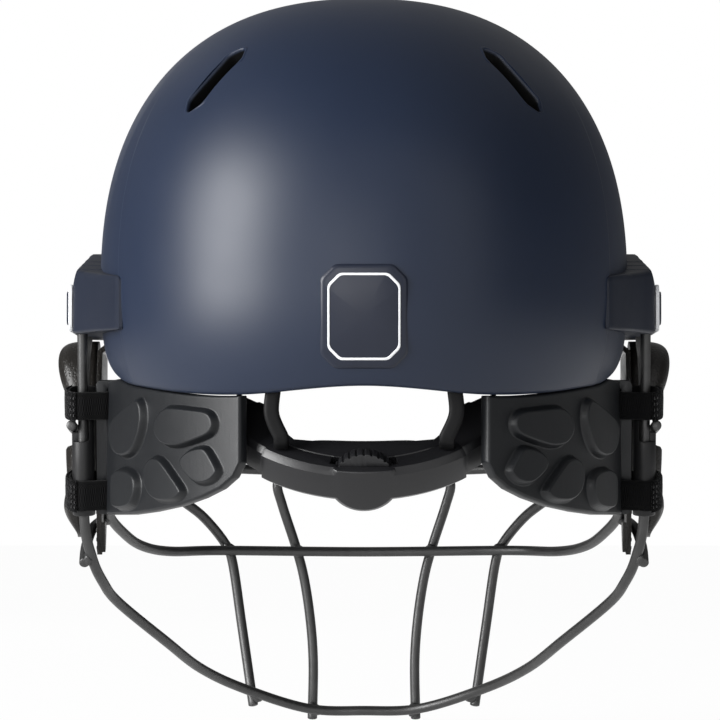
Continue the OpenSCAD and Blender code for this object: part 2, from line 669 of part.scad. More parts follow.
// Ear guard: two padded lobes either side of the groove that the eye bar runs in
flap_x = shell_half_w + 0.8;
tab_x = shell_x(-33) - shell_wall - 0.6;
ear_x = flap_x + flap_t + 0.2;
ear_mid_y = -35;
ear_top_z = pod_bottom - 0.7;
ear_bottom_z = -71;
web_t = 2.6;
ear_rows = [
    -1, -0.95, -0.85, -0.72, -0.58, -0.44, -0.3, -0.2, -0.13, -0.075, 0, 0.07, 0.16, 0.27,
    0.4, 0.53, 0.65, 0.76, 0.85, 0.92, 0.97, 1
];
module ear_guard_left() {
    nu = 10;
    nv = len(ear_rows) - 1;
    mid = (ear_top_z + ear_bottom_z) / 2;
    half_z = (ear_top_z - ear_bottom_z) / 2;
    function spot(i, j, out) =
        let (u = 2 * i / nu - 1, v = ear_rows[j],
             z = mid + half_z * v * sqrt(1 - u * u * 0.45),
             narrow = 1 - 0.22 * smooth((-20 - z) / 50),
             y = ear_mid_y + ear_len / 2 * narrow * u * sqrt(1 - v * v * 0.45)
                 + 4 * smooth((-20 - z) / 50),
             inner = ear_x + 6.4 * smooth((-50 - z) / 7),
             rim = pow(max(0, (1 - pow(abs(u), 4)) * (1 - pow(abs(v), 14))), 0.27),
             low_lobe = smooth((0.09 * (y - ear_mid_y) - 33.6 - z) / 2.6)
                 * (1 - 0.75 * smooth((-58 - z) / 14)),
             lobe = max(pow(bump((z - 5) / 30), 0.3), 0.73 * pow(low_lobe, 0.55)),
             t = 1.6 + (web_t - 1.6) * rim + (ear_lobe_t - web_t) * rim * lobe,
             flare = 5.6 * smooth((-50 - z) / 7))
        [inner + out * max(1.8, t - flare * rim), y, z];
    color("black")
        skin([for (j = [0 : nv]) [for (i = [0 : nu]) spot(i, j, 1)]],
             [for (j = [0 : nv]) [for (i = [0 : nu]) spot(i, j, 0)]], false);
}
module ear_guard_right() { mirror([1, 0, 0]) ear_guard_left(); }

// Stitched flap behind the ear guard; its tab bends in under the rim and goes up inside the
// shell, where the front pod screw clamps it
module ear_flap_left() {
    outline = [[-54, 2], [-56, -30], [-50, -46], [-40, -50], [-34, -54], [-29, -66],
               [-24, -77], [-20, -78], [-16, -70], [-14, -50], [-14.5, -8], [-19, 4], [-33, 5]];
    color("black") difference() {
        union() {
            translate([flap_x, 0, 0]) rotate([90, 0, 90]) linear_extrude(flap_t)
                polygon(outline);
            // Inner layer of the folded lower end
            translate([flap_x - 1.3, 0, 0]) rotate([90, 0, 90]) linear_extrude(1.5)
                polygon([[-28.6, -65], [-27, -70], [-23.6, -76], [-20.2, -77], [-17, -70],
                         [-16, -65]]);
            translate([0, -19, 0]) rotate([90, 0, 0]) linear_extrude(14)
                polygon([[flap_x + 0.1, -4], [flap_x + flap_t - 0.1, -4],
                         [flap_x + flap_t - 0.1, 4.6],
                         [tab_x, 2.5 + flap_x + flap_t - tab_x], [tab_x, 27],
                         [tab_x - flap_t, 27],
                         [tab_x - flap_t, 4 + flap_x - tab_x], [flap_x + 0.1, 3.3]]);
        }
        translate([tab_x - 2 * flap_t, screw_seats[0][0], screw_seats[0][1]])
            rotate([0, 90, 0]) cylinder(r = screw_r + 0.3, h = 3 * flap_t);
    }
}
module ear_flap_right() { mirror([1, 0, 0]) ear_flap_left(); }

// Children are placed in the fit band's tilted frame
module on_band() { translate(band_seat) rotate([-band_tilt, 0, 0]) children(); }
module along_dial(y) { translate([0, y, -dial_axis_drop]) rotate([-90, 0, 0]) children(); }

// Casing of the dial, in two halves that meet on an arc behind the bands: the rear half has
// a bevelled ledge, a pocket for the wheel and a round swell under it; the front half is
// nearly flat on the head side
bump_r = dial_r + 1.2;
casing_split = 51.2;
head_outline = [[-40, 20], [-29, 34.8], [-26.4, 38.4], [-18, 39.6], [0, 40], [18, 39.6],
                [26.4, 38.4], [29, 34.8], [40, 20]];
module ring_sector(r0, r1, z0, z1, bevel) {
    rotate([0, 0, 90 - casing_half_angle]) rotate_extrude(angle = 2 * casing_half_angle, $fn = 96)
        polygon([[r0, z0], [r1 - bevel, z0], [r1, z0 + bevel], [r1, z1 - bevel],
                 [r1 - bevel, z1], [r0, z1]]);
}
module dial_casing() {
    color("black") on_band() difference() {
        union() {
            ring_sector(casing_split, casing_r, -casing_h, 0, 2.2);
            intersection() {
                ring_sector(casing_split, casing_r, -dial_axis_drop - bump_r - 3, 0, 0.4);
                union() {
                    along_dial(casing_split - 8) cylinder(r = bump_r, h = casing_r - casing_split + 5.8);
                    along_dial(casing_r - 2.2) cylinder(r1 = bump_r, r2 = bump_r - 2.2, h = 2.2);
                }
            }
        }
        along_dial(casing_flat) cylinder(r = dial_r + 0.3, h = dial_back + 0.3 - casing_flat);
        rotate([0, 0, 90 - 13.5]) rotate_extrude(angle = 27, $fn = 96)
            translate([casing_split - 1, -3.2]) square([dial_back - 0.5 - casing_split + 1, 5]);
        along_dial(dial_back) cylinder(r = 1.5 + run_gap, h = casing_r - dial_back - 1.2);
        cover_screw_places() cylinder(r = 1.02, h = 13);
    }
}
band_top = 1;
cover_screw_angle = 24;
head_seat_r = 44.4;
module cover_screw_places() {
    for (a = [-cover_screw_angle, cover_screw_angle])
        rotate([0, 0, a]) translate([0, head_seat_r, -casing_h / 2]) rotate([-90, 0, 0]) children();
}
module casing_cover() {
    color("black") on_band() difference() {
        union() {
            ring_sector(casing_flat - 12, casing_split - 0.3, -casing_h, 0, 0.4);
            intersection() {
                ring_sector(casing_split - 2, casing_split - 0.3, -30, 0, 0.1);
                along_dial(casing_flat) cylinder(r = bump_r, h = 14);
            }
        }
        translate([0, 0, -40]) linear_extrude(60) polygon(head_outline);
        rotate([0, 0, 90 - casing_half_angle - 4])
            rotate_extrude(angle = 2 * casing_half_angle + 8, $fn = 96)
            translate([band_in_r - 0.3, -band_top - band_h - 0.3])
            square([casing_split - band_in_r + 2, band_h + 0.6]);
        along_dial(casing_flat - 2) cylinder(r = 1.5 + run_gap, h = 14);
        cover_screw_places() {
            cylinder(r = 1.2, h = 4);
            translate([0, 0, -8]) cylinder(r = 2.4, h = 8);
        }
    }
}
module cover_screws() {
    color("silver") on_band() cover_screw_places() difference() {
        union() {
            translate([0, 0, -1.4]) cylinder(r = 2.1, h = 1.4);
            translate([0, 0, -0.2]) cylinder(r = 1, h = 12);
        }
        translate([0, 0, -1.6]) cylinder(r = 0.8, h = 0.9, $fn = 6);
    }
}

// Dial: a ribbed wheel, a hub and a pinion on one spindle
module dial() {
    color("black") on_band() {
        along_dial(dial_front) linear_extrude(dial_back - dial_front) difference() {
            circle(dial_r);
            for (k = [0 : dial_ribs - 1])
                rotate(360 * (k + 0.5) / dial_ribs) translate([dial_r, 0]) circle(0.62, $fn = 6);
        }
        along_dial(casing_split) cylinder(r = pitch_r + 1.6, h = dial_front - casing_split + 0.2);
        along_dial(band_in_r - 0.1) linear_extrude(casing_split - band_in_r + 0.2)
            pinion_outline();
        along_dial(casing_flat + 0.6) cylinder(r = 1.5, h = band_in_r - casing_flat - 0.4);
        along_dial(dial_back) cylinder(r = 1.5, h = casing_r - dial_back - 1.5);
    }
}
module pinion_outline() {
    root = pitch_r - 1.15 * tooth_module;
    circle(root);
    for (k = [0 : pinion_teeth - 1])
        rotate(-90 + 360 * k / pinion_teeth)
            polygon([[root - 0.3, -0.9 * tooth_module], [root, -0.9 * tooth_module],
                     [pitch_r, -0.57 * tooth_module], [pitch_r + 0.8 * tooth_module,
                     -0.26 * tooth_module], [pitch_r + 0.8 * tooth_module, 0.26 * tooth_module],
                     [pitch_r, 0.57 * tooth_module], [root, 0.9 * tooth_module],
                     [root - 0.3, 0.9 * tooth_module]]);
}

far_edge = pitch_r + 0.8;
// Outside the casing each arm thickens to a shoe with the casing's own section; at rest the
// shoes close against the casing's ends, and the dial lets them out from there
shoe_end = 72;
module arm_shoe() {
    gap = 18 / casing_r;
    difference() {
        union() {
            rotate([0, 0, 90 - shoe_end])
                rotate_extrude(angle = shoe_end - casing_half_angle - gap, $fn = 96)
                polygon([[35, -casing_h + 1], [casing_r - 3.4, -casing_h + 1],
                         [casing_r - 1.4, -casing_h + 3], [casing_r - 1.4, -2.5],
                         [casing_r - 3.4, -0.5], [35, -0.5]]);
            rotate([0, 0, 90 - shoe_end - 8]) rotate_extrude(angle = 8.2, $fn = 96)
                polygon([[35, -casing_h + 2], [casing_r - 5, -casing_h + 2],
                         [casing_r - 3, -casing_h + 4], [casing_r - 3, -3.2],
                         [casing_r - 5, -1.2], [35, -1.2]]);
        }
        translate([0, 0, -20]) linear_extrude(30)
            polygon([[0, 0], [0, 60], [28.9, 34.6], [32.2, 24], [36.6, 15.5], [45, 9], [52, 9],
                     [52, 0]]);
    }
}
// Arm: a curved band that passes through the casing; its window has rack teeth on one edge,
// and a slot clears the casing's screw. The left arm's teeth are above the pinion and the
// right arm's are below it.
module fit_arm(mid_r, above, start, end) {
    pitch = 180 * tooth_module / mid_r;
    centre_z = -dial_axis_drop;
    tooth_side = above ? 1 : -1;
    tip = pitch_r - 0.7 * tooth_module;
    phase = above ? 0 : (pinion_teeth % 2) / 2;
    travel = dial_turn * pitch_r / mid_r;
    color("black") on_band() difference() {
        union() {
            band_arc(mid_r, start, end, -band_top - band_h, -band_top);
            arm_shoe();
        }
        band_arc(mid_r, -travel - 4.6, 4.6, centre_z - (above ? far_edge : tip),
                 centre_z + (above ? tip : far_edge), 1);
        for (k = [-ceil((travel + 4.6) / pitch) + 1 : ceil(4.6 / pitch) - 1])
            rotate([0, 0, -(k + phase) * pitch])
                translate([0, mid_r - band_t, centre_z + tooth_side * tip])
                rotate([-90, 0, 0]) linear_extrude(2 * band_t)
                polygon([for (p = [[-0.93, 0.1], [-0.58, -1.85], [0.58, -1.85], [0.93, 0.1]])
                    [p[0] * tooth_module, tooth_side * p[1] * tooth_module]]);
        band_arc(mid_r, cover_screw_angle - travel - 1.9, cover_screw_angle + 1.9,
                 -casing_h / 2 - 1.5, -casing_h / 2 + 1.5, 1);
    }
}
// Part of a flat band on the arc, with bearings from the back towards the wearer's left
module band_arc(mid_r, from, to, z0, z1, extra = 0) {
    rotate([0, 0, 90 - to]) rotate_extrude(angle = to - from, $fn = 96)
        translate([mid_r - band_t / 2 - extra, z0]) square([band_t + 2 * extra, z1 - z0]);
}
module fit_arm_left() { fit_arm(left_mid_r, true, -arm_tail, arm_end); }
module fit_arm_right() { mirror([1, 0, 0]) fit_arm(right_mid_r, false, -arm_tail, arm_end); }

// Hanger strut: from the casing's ledge up into the liner's lower edge
hanger_foot = [31, 44.4, 0];
function band_to_world(p) = band_seat + [
    p.x,
    p.y * cos(band_tilt) + p.z * sin(band_tilt),
    -p.y * sin(band_tilt) + p.z * cos(band_tilt)
];
hanger_route = [[34.6, 107.4, -24], [34, 107, -14], [34, 107, -6], [34, 107, 7]];
module hanger_left() {
    foot = [for (rise = [0, 4])
        band_to_world(hanger_foot + [0, 0, hanger_r * 0.35 + 0.05 + rise])];
    color("black") bar(concat([foot[0]], curve(concat([foot[1]], hanger_route), 3)), hanger_r);
}
module hanger_right() { mirror([1, 0, 0]) hanger_left(); }
module hanger_socket() {
    translate([34, 107, -10]) cylinder(r = hanger_r + 0.3, h = 18.5);
}

// Nape pad on the head side of the casing
module nape_pad() {
    nu = 12;
    nv = 5;
    function spot(i, j, depth) =
        let (u = 2 * i / nu - 1, v = 2 * j / nv - 1,
             swell = pow(max(0, (1 - pow(abs(u), 3)) * (1 - pow(abs(v), 3))), 0.5),
             x = -24 * u * (0.94 + 0.06 * v * v),
             y = casing_flat - 0.7 - 1.3 * u * u - depth * (1 + 4 * swell),
             z = -casing_h / 2 - 0.8 + (casing_h / 2 - 1) * v * (0.9 + 0.1 * u * u))
        [x, y, z];
    color("black") on_band()
        skin([for (j = [0 : nv]) [for (i = [0 : nu]) spot(i, j, 0)]],
             [for (j = [0 : nv]) [for (i = [0 : nu]) spot(i, j, 1)]], false);
}

shell();
peak();
foam_liner();
front_pad();
crown_pad();
side_pad_left();
side_pad_right();
rear_pad_left();
rear_pad_right();
pod_left();
pod_right();
pod_trim_left();
pod_trim_right();
side_plate_left();
side_plate_right();
pod_screws();
chin_wire();
mid_bar();
eye_bar();
centre_loop();
outer_wire_left();
outer_wire_right();
side_stub_left();
side_stub_right();
post_sleeve_left();
post_sleeve_right();
stem_guard_left();
stem_guard_right();
upper_strap_left();
upper_strap_right();
lower_strap_left();
lower_strap_right();
ear_guard_left();
ear_guard_right();
ear_flap_left();
ear_flap_right();
dial_casing();
casing_cover();
cover_screws();
dial();
fit_arm_left();
fit_arm_right();
hanger_left();
hanger_right();
nape_pad();
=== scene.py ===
# %% [markdown]
# # A batting helmet seen from behind
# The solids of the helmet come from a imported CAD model: one object per part, in metres, in one
# frame where +X is the wearer's left, +Y the back and +Z up. This lesson dresses them. Parts
# whose solid is already right get a finish or rounded edges; parts with soft or sculpted
# surfaces are rebuilt from the same numbers on finer grids and stand in for the solid.

# %% Load the frame and keep the box of the solids
import json
import math
import bmesh
import bpy
import numpy as np
from mathutils import Matrix

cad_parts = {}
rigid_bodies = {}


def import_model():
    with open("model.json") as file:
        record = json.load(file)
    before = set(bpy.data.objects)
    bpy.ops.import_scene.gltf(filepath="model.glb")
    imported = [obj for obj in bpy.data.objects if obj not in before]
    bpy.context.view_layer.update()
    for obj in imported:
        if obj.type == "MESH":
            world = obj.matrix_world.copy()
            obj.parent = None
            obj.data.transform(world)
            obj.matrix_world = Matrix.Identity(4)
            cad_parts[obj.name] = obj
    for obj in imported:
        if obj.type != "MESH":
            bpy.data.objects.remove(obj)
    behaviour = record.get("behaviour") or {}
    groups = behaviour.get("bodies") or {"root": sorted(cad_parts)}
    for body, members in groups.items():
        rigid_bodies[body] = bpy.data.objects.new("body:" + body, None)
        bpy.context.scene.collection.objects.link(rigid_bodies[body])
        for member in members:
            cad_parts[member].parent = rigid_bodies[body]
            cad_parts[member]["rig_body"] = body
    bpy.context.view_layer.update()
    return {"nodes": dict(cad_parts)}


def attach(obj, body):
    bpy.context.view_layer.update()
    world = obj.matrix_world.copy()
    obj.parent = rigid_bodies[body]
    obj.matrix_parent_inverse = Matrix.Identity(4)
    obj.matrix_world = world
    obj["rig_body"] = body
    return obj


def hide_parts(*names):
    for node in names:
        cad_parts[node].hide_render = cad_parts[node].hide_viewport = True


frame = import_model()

MM = 0.001

# %% [markdown]
# ## Camera
# The photograph was taken from straight behind and two degrees below, with a long lens: the
# near and far wires of the guard are almost the same size. A distance of 1.7 m and a 212 mm
# lens on a 36 mm sensor give the same small perspective. The helmet stands four pixels right of
# the picture's middle, which is a small sideways shift of the lens.

# %% Camera behind the helmet
scene = bpy.context.scene
CAMERA_DISTANCE, CAMERA_DROP = 1.7, math.radians(2.0)
camera_data = bpy.data.cameras.new("camera")
camera_data.lens, camera_data.sensor_width = 212.5, 36.0
camera_data.shift_x = -4 / 720
camera_data.clip_end = 50
camera = bpy.data.objects.new("camera", camera_data)
camera.location = (0, CAMERA_DISTANCE * math.cos(CAMERA_DROP),
                   -CAMERA_DISTANCE * math.sin(CAMERA_DROP))
camera.rotation_euler = (math.radians(90) + CAMERA_DROP, 0, math.radians(180))
scene.collection.objects.link(camera)
scene.camera = camera
scene.view_settings.view_transform = "Standard"

# %% [markdown]
# ## Materials
# Every finish is built from nodes on object coordinates, so it stays put on the moving parts.
# A helper makes the shader and keeps a short list of layers: colour noise, roughness noise and
# bump. Each real surface then adds its own grain on top.

# %% Node helpers
def add_node(tree, kind, inputs=(), **settings):
    """A node with settings and inputs; an input is a value or another node's output."""
    made = tree.nodes.new(kind)
    for key, value in settings.items():
        setattr(made, key, value)
    for key, value in dict(inputs).items():
        if isinstance(value, bpy.types.NodeSocket):
            tree.links.new(value, made.inputs[key])
        else:
            made.inputs[key].default_value = value
    return made


class Finish:
    """A principled shader with object coordinates, and helpers that stack noise on it."""

    def __init__(self, name, colour, roughness, **sockets):
        self.material = bpy.data.materials.new(name)
        self.material.use_nodes = True
        self.tree = self.material.node_tree
        self.shader = self.tree.nodes["Principled BSDF"]
        self.colour = colour
        self.shader.inputs["Base Color"].default_value = (*colour, 1)
        self.shader.inputs["Roughness"].default_value = roughness
        for socket, value in sockets.items():
            self.shader.inputs[socket.replace("_", " ")].default_value = value
        self.coords = self.tree.nodes.new("ShaderNodeTexCoord").outputs["Object"]
        self.normal = None

    def node(self, kind, inputs=(), **settings):
        """A node in this finish's own tree."""
        return add_node(self.tree, kind, inputs, **settings)

    def feed(self, output, socket):
        """Links an output to one of the shader's inputs."""
        self.tree.links.new(output, self.shader.inputs[socket])

    def noise(self, per_metre, detail=3.0, stretch=None):
        """Noise from 0 to 1 at a number of features per metre; a small stretch draws it out."""
        vector = self.coords
        if stretch:
            vector = self.node("ShaderNodeMapping", {"Vector": vector, "Scale": stretch}).outputs[0]
        return self.node("ShaderNodeTexNoise", {"Vector": vector, "Scale": per_metre,
                         "Detail": detail, "Roughness": 0.55}).outputs["Fac"]

    def cells(self, per_metre):
        """Distance to the nearest cell centre at a number of cells per metre."""
        return self.node("ShaderNodeTexVoronoi", {"Vector": self.coords, "Scale": per_metre},
                         feature="F1").outputs["Distance"]

    def ramp(self, value, low, high, out_low=0.0, out_high=1.0):
        """Straight map of a value from low..high to out_low..out_high, held at the ends."""
        return self.node("ShaderNodeMapRange", {"Value": value, "From Min": low,
                         "From Max": high, "To Min": out_low, "To Max": out_high}).outputs[0]

    def blend(self, factor, first, second):
        """Base colour that runs from one colour to another with a factor from 0 to 1."""
        mix = self.node("ShaderNodeMix", {"Factor": factor, 6: first, 7: second},
                        data_type="RGBA")
        self.feed(mix.outputs[2], "Base Color")
        return mix.outputs[2]

    def shade(self, value, dark, light):
        """Base colour that runs between two factors of the finish's own colour."""
        return self.blend(value, *[tuple(min(1.0, c * f) for c in self.colour) + (1,)
                                   for f in (dark, light)])

    def paint_slot_shade(self, colour, attribute):
        """Painted shade: takes a base colour down to black where a point attribute of the mesh is
        1.
        """
        mark = self.node("ShaderNodeAttribute", attribute_name=attribute)
        self.blend(mark.outputs["Fac"], colour, (0.001, 0.001, 0.0012, 1))

    def roughen(self, value, low, high):
        """Roughness that runs from low to high with a value from 0 to 1."""
        self.feed(self.ramp(value, 0, 1, low, high), "Roughness")

    def bump(self, height, strength, depth_mm):
        """Adds a bump; the height is 0 to 1 and the depth is its size in millimetres."""
        inputs = {"Height": height, "Strength": strength, "Distance": depth_mm * MM}
        if self.normal:
            inputs["Normal"] = self.normal
        self.normal = self.node("ShaderNodeBump", inputs).outputs[0]
        self.feed(self.normal, "Normal")
        return self


def srgb(r, g, b):
    """Linear colour of an 8-bit display colour."""
    c = np.array([r, g, b]) / 255
    return tuple(np.where(c <= 0.04045, c / 12.92, ((c + 0.055) / 1.055) ** 2.4).tolist())


# %% [markdown]
# The shell is moulded plastic under satin paint. Its base colour is a dark navy, darker than the
# picture makes it seem, because a broad soft highlight lies over most of what is seen. Two bumps
# sit on it: a speckle of 0.08 mm and a slow orange peel. Where a mark on the mesh says that a
# point lies under the outer skin, down a vent or on the inner wall, the colour goes down to
# black: painted shade, the dark of a deep slot.

# %% Finish: satin navy paint of the shell and the pods
navy = Finish("shell_satin", srgb(19, 30, 50), 0.42, Specular_IOR_Level=0.4)
# painted shade: black where the points lie under the outer skin, as down the vents
navy.paint_slot_shade(navy.shade(navy.noise(9, 2), 0.94, 1.06), "inside")
navy.roughen(navy.noise(60, 4), 0.4, 0.46)
navy.bump(navy.noise(1500, 2), 0.12, 0.08).bump(navy.noise(260, 2), 0.05, 0.2)
pod_paint = Finish("pod_plastic", srgb(16, 23, 38), 0.46, Specular_IOR_Level=0.3)
pod_paint.shade(pod_paint.noise(14, 2), 0.9, 1.08)
pod_paint.roughen(pod_paint.noise(90, 3), 0.44, 0.56)
pod_paint.bump(pod_paint.noise(1800, 2), 0.18, 0.1)


# %% [markdown]
# Black plastics differ by gloss and grain more than by colour. One function makes them all: a
# cloudy roughness between two values, a slightly uneven colour and the fine grain that a
# spark-eroded mould leaves. The stem guards also have fine upright brush lines, which are a
# noise that is drawn out eight times along Z.

# %% Finish: moulded black and charcoal plastics
def moulded(name, colour, low, high, grain=1400, depth=0.12, gloss=0.2):
    """Moulded plastic: fine grain, cloudy gloss and slightly uneven colour."""
    made = Finish(name, colour, (low + high) / 2, Specular_IOR_Level=gloss)
    made.shade(made.noise(22, 3), 0.88, 1.1)
    made.roughen(made.noise(120, 4), low, high)
    made.bump(made.noise(grain, 3), 0.3, depth)
    return made


guard_plastic = moulded("guard_plastic", srgb(16, 18, 21), 0.38, 0.48, 2200, 0.14, 0.36)
guard_plastic.bump(guard_plastic.noise(700, 2, stretch=(1, 1, 0.12)), 0.25, 0.12)
band_plastic = moulded("band_plastic", srgb(24, 24, 26), 0.28, 0.4, 1400, 0.1, 0.45)
sleeve_plastic = moulded("sleeve_plastic", srgb(26, 26, 27), 0.4, 0.5, 1400, 0.1, 0.3)
foam = moulded("foam", srgb(36, 36, 38), 0.8, 0.95, 500, 0.3, 0.05)
foam.bump(foam.ramp(foam.cells(330), 0.0, 0.6), 0.5, 0.5)
trim_white = moulded("trim_white", srgb(228, 229, 231), 0.25, 0.35, 1400, 0.03)
plate_navy = moulded("plate_navy", srgb(26, 31, 45), 0.25, 0.36, 1400, 0.04, 0.35)
hanger_black = moulded("hanger_black", srgb(15, 15, 16), 0.5, 0.6, 1400, 0.1, 0.15)

# %% [markdown]
# The wires have a thin powder coat in dark metallic grey: a metal base that is partly dulled,
# with a coarse powder bump. Screws are bare steel, and their noise is drawn out one way, so that
# it reads as turning marks.

# %% Finish: painted wire and steel
wire_paint = Finish("wire_paint", srgb(78, 78, 78), 0.42, Metallic=0.8)
wire_paint.shade(wire_paint.noise(160, 4), 0.72, 1.15)
wire_paint.roughen(wire_paint.noise(420, 3), 0.34, 0.52)
wire_paint.bump(wire_paint.noise(1500, 2), 0.45, 0.12)
screw_steel = Finish("screw_steel", srgb(176, 177, 180), 0.3, Metallic=1.0)
screw_steel.roughen(screw_steel.noise(900, 3, stretch=(1, 8, 8)), 0.22, 0.42)
screw_steel.bump(screw_steel.noise(900, 2, stretch=(1, 8, 8)), 0.2, 0.03)
print("finish of the shell:", navy.material.name, "and of the wires:", wire_paint.material.name)

# %% [markdown]
# ## Grids to meshes
# A surface is an array of points, rows by columns by three, in millimetres. One helper joins
# neighbours into quads and, where asked, joins the last column to the first. Closed tubes get
# their ends filled. Points go into the mesh in one call, without a loop over vertices.

# %% Mesh helpers
def quads(rows, cols, wrap=False, start=0):
    """Quads of a grid, counter-clockwise when columns run right and rows run up."""
    width = cols if wrap else cols - 1
    r, c = np.meshgrid(np.arange(rows - 1), np.arange(width), indexing="ij")
    n = (c + 1) % cols
    return (start + np.stack([r * cols + c, r * cols + n, (r + 1) * cols + n,
                              (r + 1) * cols + c], -1)).reshape(-1, 4)


def make_mesh(name, points, faces):
    """Mesh object at the origin from points in millimetres and faces of any length."""
    mesh = bpy.data.meshes.new(name)
    mesh.from_pydata((np.asarray(points).reshape(-1, 3) * MM).tolist(), [],
                     [list(map(int, f)) for f in faces])
    mesh.update()
    made = bpy.data.objects.new(name, mesh)
    scene.collection.objects.link(made)
    return made


def finish_piece(piece, body, look, stands_for=(), crease=40):
    """Gives a piece its material, its body and the solids that it stands for.

    It is shaded smooth, with sharp edges where it turns by more than the crease in degrees.
    """
    piece.data.materials.clear()
    piece.data.materials.append(look.material)
    piece.data.shade_smooth()
    if crease:
        piece.data.set_sharp_from_angle(angle=math.radians(crease))
    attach(piece, body)
    if stands_for:
        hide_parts(*stands_for)
    return piece


def outward(piece):
    """Merges doubles and turns every face of a closed mesh outwards: its volume is positive."""
    net = bmesh.new()
    net.from_mesh(piece.data)
    bmesh.ops.remove_doubles(net, verts=net.verts, dist=1e-7)
    bmesh.ops.recalc_face_normals(net, faces=net.faces)
    if net.calc_volume(signed=True) < 0:
        bmesh.ops.reverse_faces(net, faces=net.faces)
    net.to_mesh(piece.data)
    net.free()
    return piece


def closed_tube(name, rings):
    """Closed skin over rings of points; the first and last ring are filled with a fan."""
    rings = np.asarray(rings)
    rows, cols = rings.shape[:2]
    ends = np.stack([rings[0].mean(0), rings[-1].mean(0)])
    points = np.vstack([rings.reshape(-1, 3), ends])
    k = np.arange(cols)
    n = (k + 1) % cols
    first = np.stack([n, k, np.full(cols, rows * cols)], -1)
    last = np.stack([(rows - 1) * cols + k, (rows - 1) * cols + n,
                     np.full(cols, rows * cols + 1)], -1)
    faces = [*quads(rows, cols, True), *first, *last]
    return outward(make_mesh(name, points, faces))


def closed_ring(name, rings):
    """Skin over rings of points that follow each other round and meet: a tube without ends."""
    rings = np.asarray(rings)
    rows, cols = rings.shape[:2]
    return make_mesh(name, rings, quads(rows + 1, cols, True) % (rows * cols))


def baked(piece):
    """Puts what the piece's modifiers make into its mesh and clears the modifiers."""
    piece.data = bpy.data.meshes.new_from_object(
        piece.evaluated_get(bpy.context.evaluated_depsgraph_get()))
    piece.modifiers.clear()
    return piece


def on_side(points, side):
    """Points that are given for the wearer's left: as they are for 1, mirrored for -1."""
    return np.asarray(points) * np.array([side, 1, 1])


def two_skins(name, outer, inner):
    """Closed piece from two grids of the same size, joined round their border."""
    rows, cols = outer.shape[:2]
    n = rows * cols
    border = np.r_[np.arange(cols), np.arange(1, rows) * cols + cols - 1,
                   (rows - 1) * cols + np.arange(cols - 2, -1, -1),
                   np.arange(rows - 2, 0, -1) * cols]
    rim = np.stack([border, np.roll(border, -1), np.roll(border, -1) + n, border + n], -1)
    return outward(make_mesh(name, np.stack([outer, inner]), [
        *quads(rows, cols), *(quads(rows, cols, start=n)[:, ::-1]), *rim]))


SIDES = (("left", 1), ("right", -1))
print("quads of a 3 x 4 grid:", len(quads(3, 4)))

# %% [markdown]
# ## The shell's form
# The shell is two super-ellipses: a plan, nearly round but fuller at the corners, and an
# upright section, flat-sided below and domed above. Their half axes are the sizes of the
# solid. A point is found from its bearing round the head and its climb above the widest
# section, and an offset gives the inner wall, the liner and the pads.

# %% The form in numpy
HALF_W, REAR, FRONT, MID_Z, RISE, SKIRT = 105, 129, 122, 27, 116, 89
PLAN, SIDE, WALL = 2.15, 2.4, 3.0


def smooth(t):
    """Smooth step: 3k² - 2k³ with k held between 0 and 1."""
    k = np.clip(t, 0, 1)
    return k * k * (3 - 2 * k)


def bump(t):
    """A rounded bump, (1 - t²)², that is 0 beyond t = 1."""
    return np.clip(1 - t * t, 0, 1) ** 2


def unit(v):
    """v / |v| for a vector, or for each vector along the last axis of an array."""
    return v / np.maximum(np.linalg.norm(v, axis=-1, keepdims=True), 1e-12)


def signed_power(x, power):
    """|x|^p with the sign of x; a power below 1 squares off a cosine or a sine."""
    return np.sign(x) * np.abs(x) ** power


def power_sum(a, b, power):
    """(|a|^p + |b|^p)^(-1/p): the radius of a super-ellipse along (a, b)."""
    return (np.abs(a) ** power + np.abs(b) ** power) ** (-1 / power)


def plan_radius(a, off=0.0):
    """Radius of the plan at a bearing in radians; the back reaches further than the front."""
    reach = np.where(np.sin(a) >= 0, REAR, FRONT) - off
    return power_sum(np.cos(a) / (HALF_W - off), np.sin(a) / reach, PLAN)


def form(az, climb, off=0.0):
    """Point of the shell at a bearing from +X and a climb, in degrees, less an offset in mm."""
    a, c = np.radians(az), np.radians(climb)
    up = power_sum(np.cos(c), np.sin(c), SIDE)
    height = np.where(c >= 0, RISE - off, SKIRT)
    r = plan_radius(a, off) * up * np.cos(c)
    return np.stack([r * np.cos(a), r * np.sin(a), MID_Z + height * up * np.sin(c)], -1)


def from_back(az):
    """Angle between a bearing and straight back, 0 to 180 degrees."""
    return np.degrees(np.arccos(np.clip(np.sin(np.radians(az)), -1, 1)))


def rim_z(az):
    """Height of the rim: low at the nape, up over the ears and the brow."""
    b = from_back(az)
    return (-13.8 - 2.9 * smooth(b / 24) + 6 * smooth((b - 25) / 44)
            + 23 * np.clip((b - 58) / 32, 0, 1) ** 2 + 7.7 * smooth((b - 115) / 50))


def climb_at(z, off=0.0):
    """Climb, in degrees, at which the form reaches a height."""
    height = np.where(z >= MID_Z, RISE - off, SKIRT)
    q = np.clip(np.abs(z - MID_Z) / height, 0, 0.99999)
    c = np.degrees(np.arctan2(q, (1 - q ** SIDE) ** (1 / SIDE)))
    return np.where(z >= MID_Z, c, -c)


def panel(az):
    """The rear panel stands 0.8 mm proud, behind a crease 57 degrees round from the back."""
    return 0.8 * (1 - smooth((from_back(az) - 56.3) / 1.4))


print("rim height in mm at the nape, the ear and the brow:", np.round(rim_z([90, 0, -90]), 1))

# %% [markdown]
# ## Shell
# The shell could be a shrunken and a full dome cut along the rim. One closed skin is cleaner: it
# starts inside under the crown, comes down the inner wall, rolls half a circle round the rim and
# climbs the outer wall, so the rim is round and the wall has its real 3 mm. Its columns draw
# together at the rear panel's creases, which keeps them sharp without a denser grid elsewhere.
# The panel's step dies away above the pods.

# %% Shell skin
FADE_TOP, FADE_RUN = 0.56, 0.22


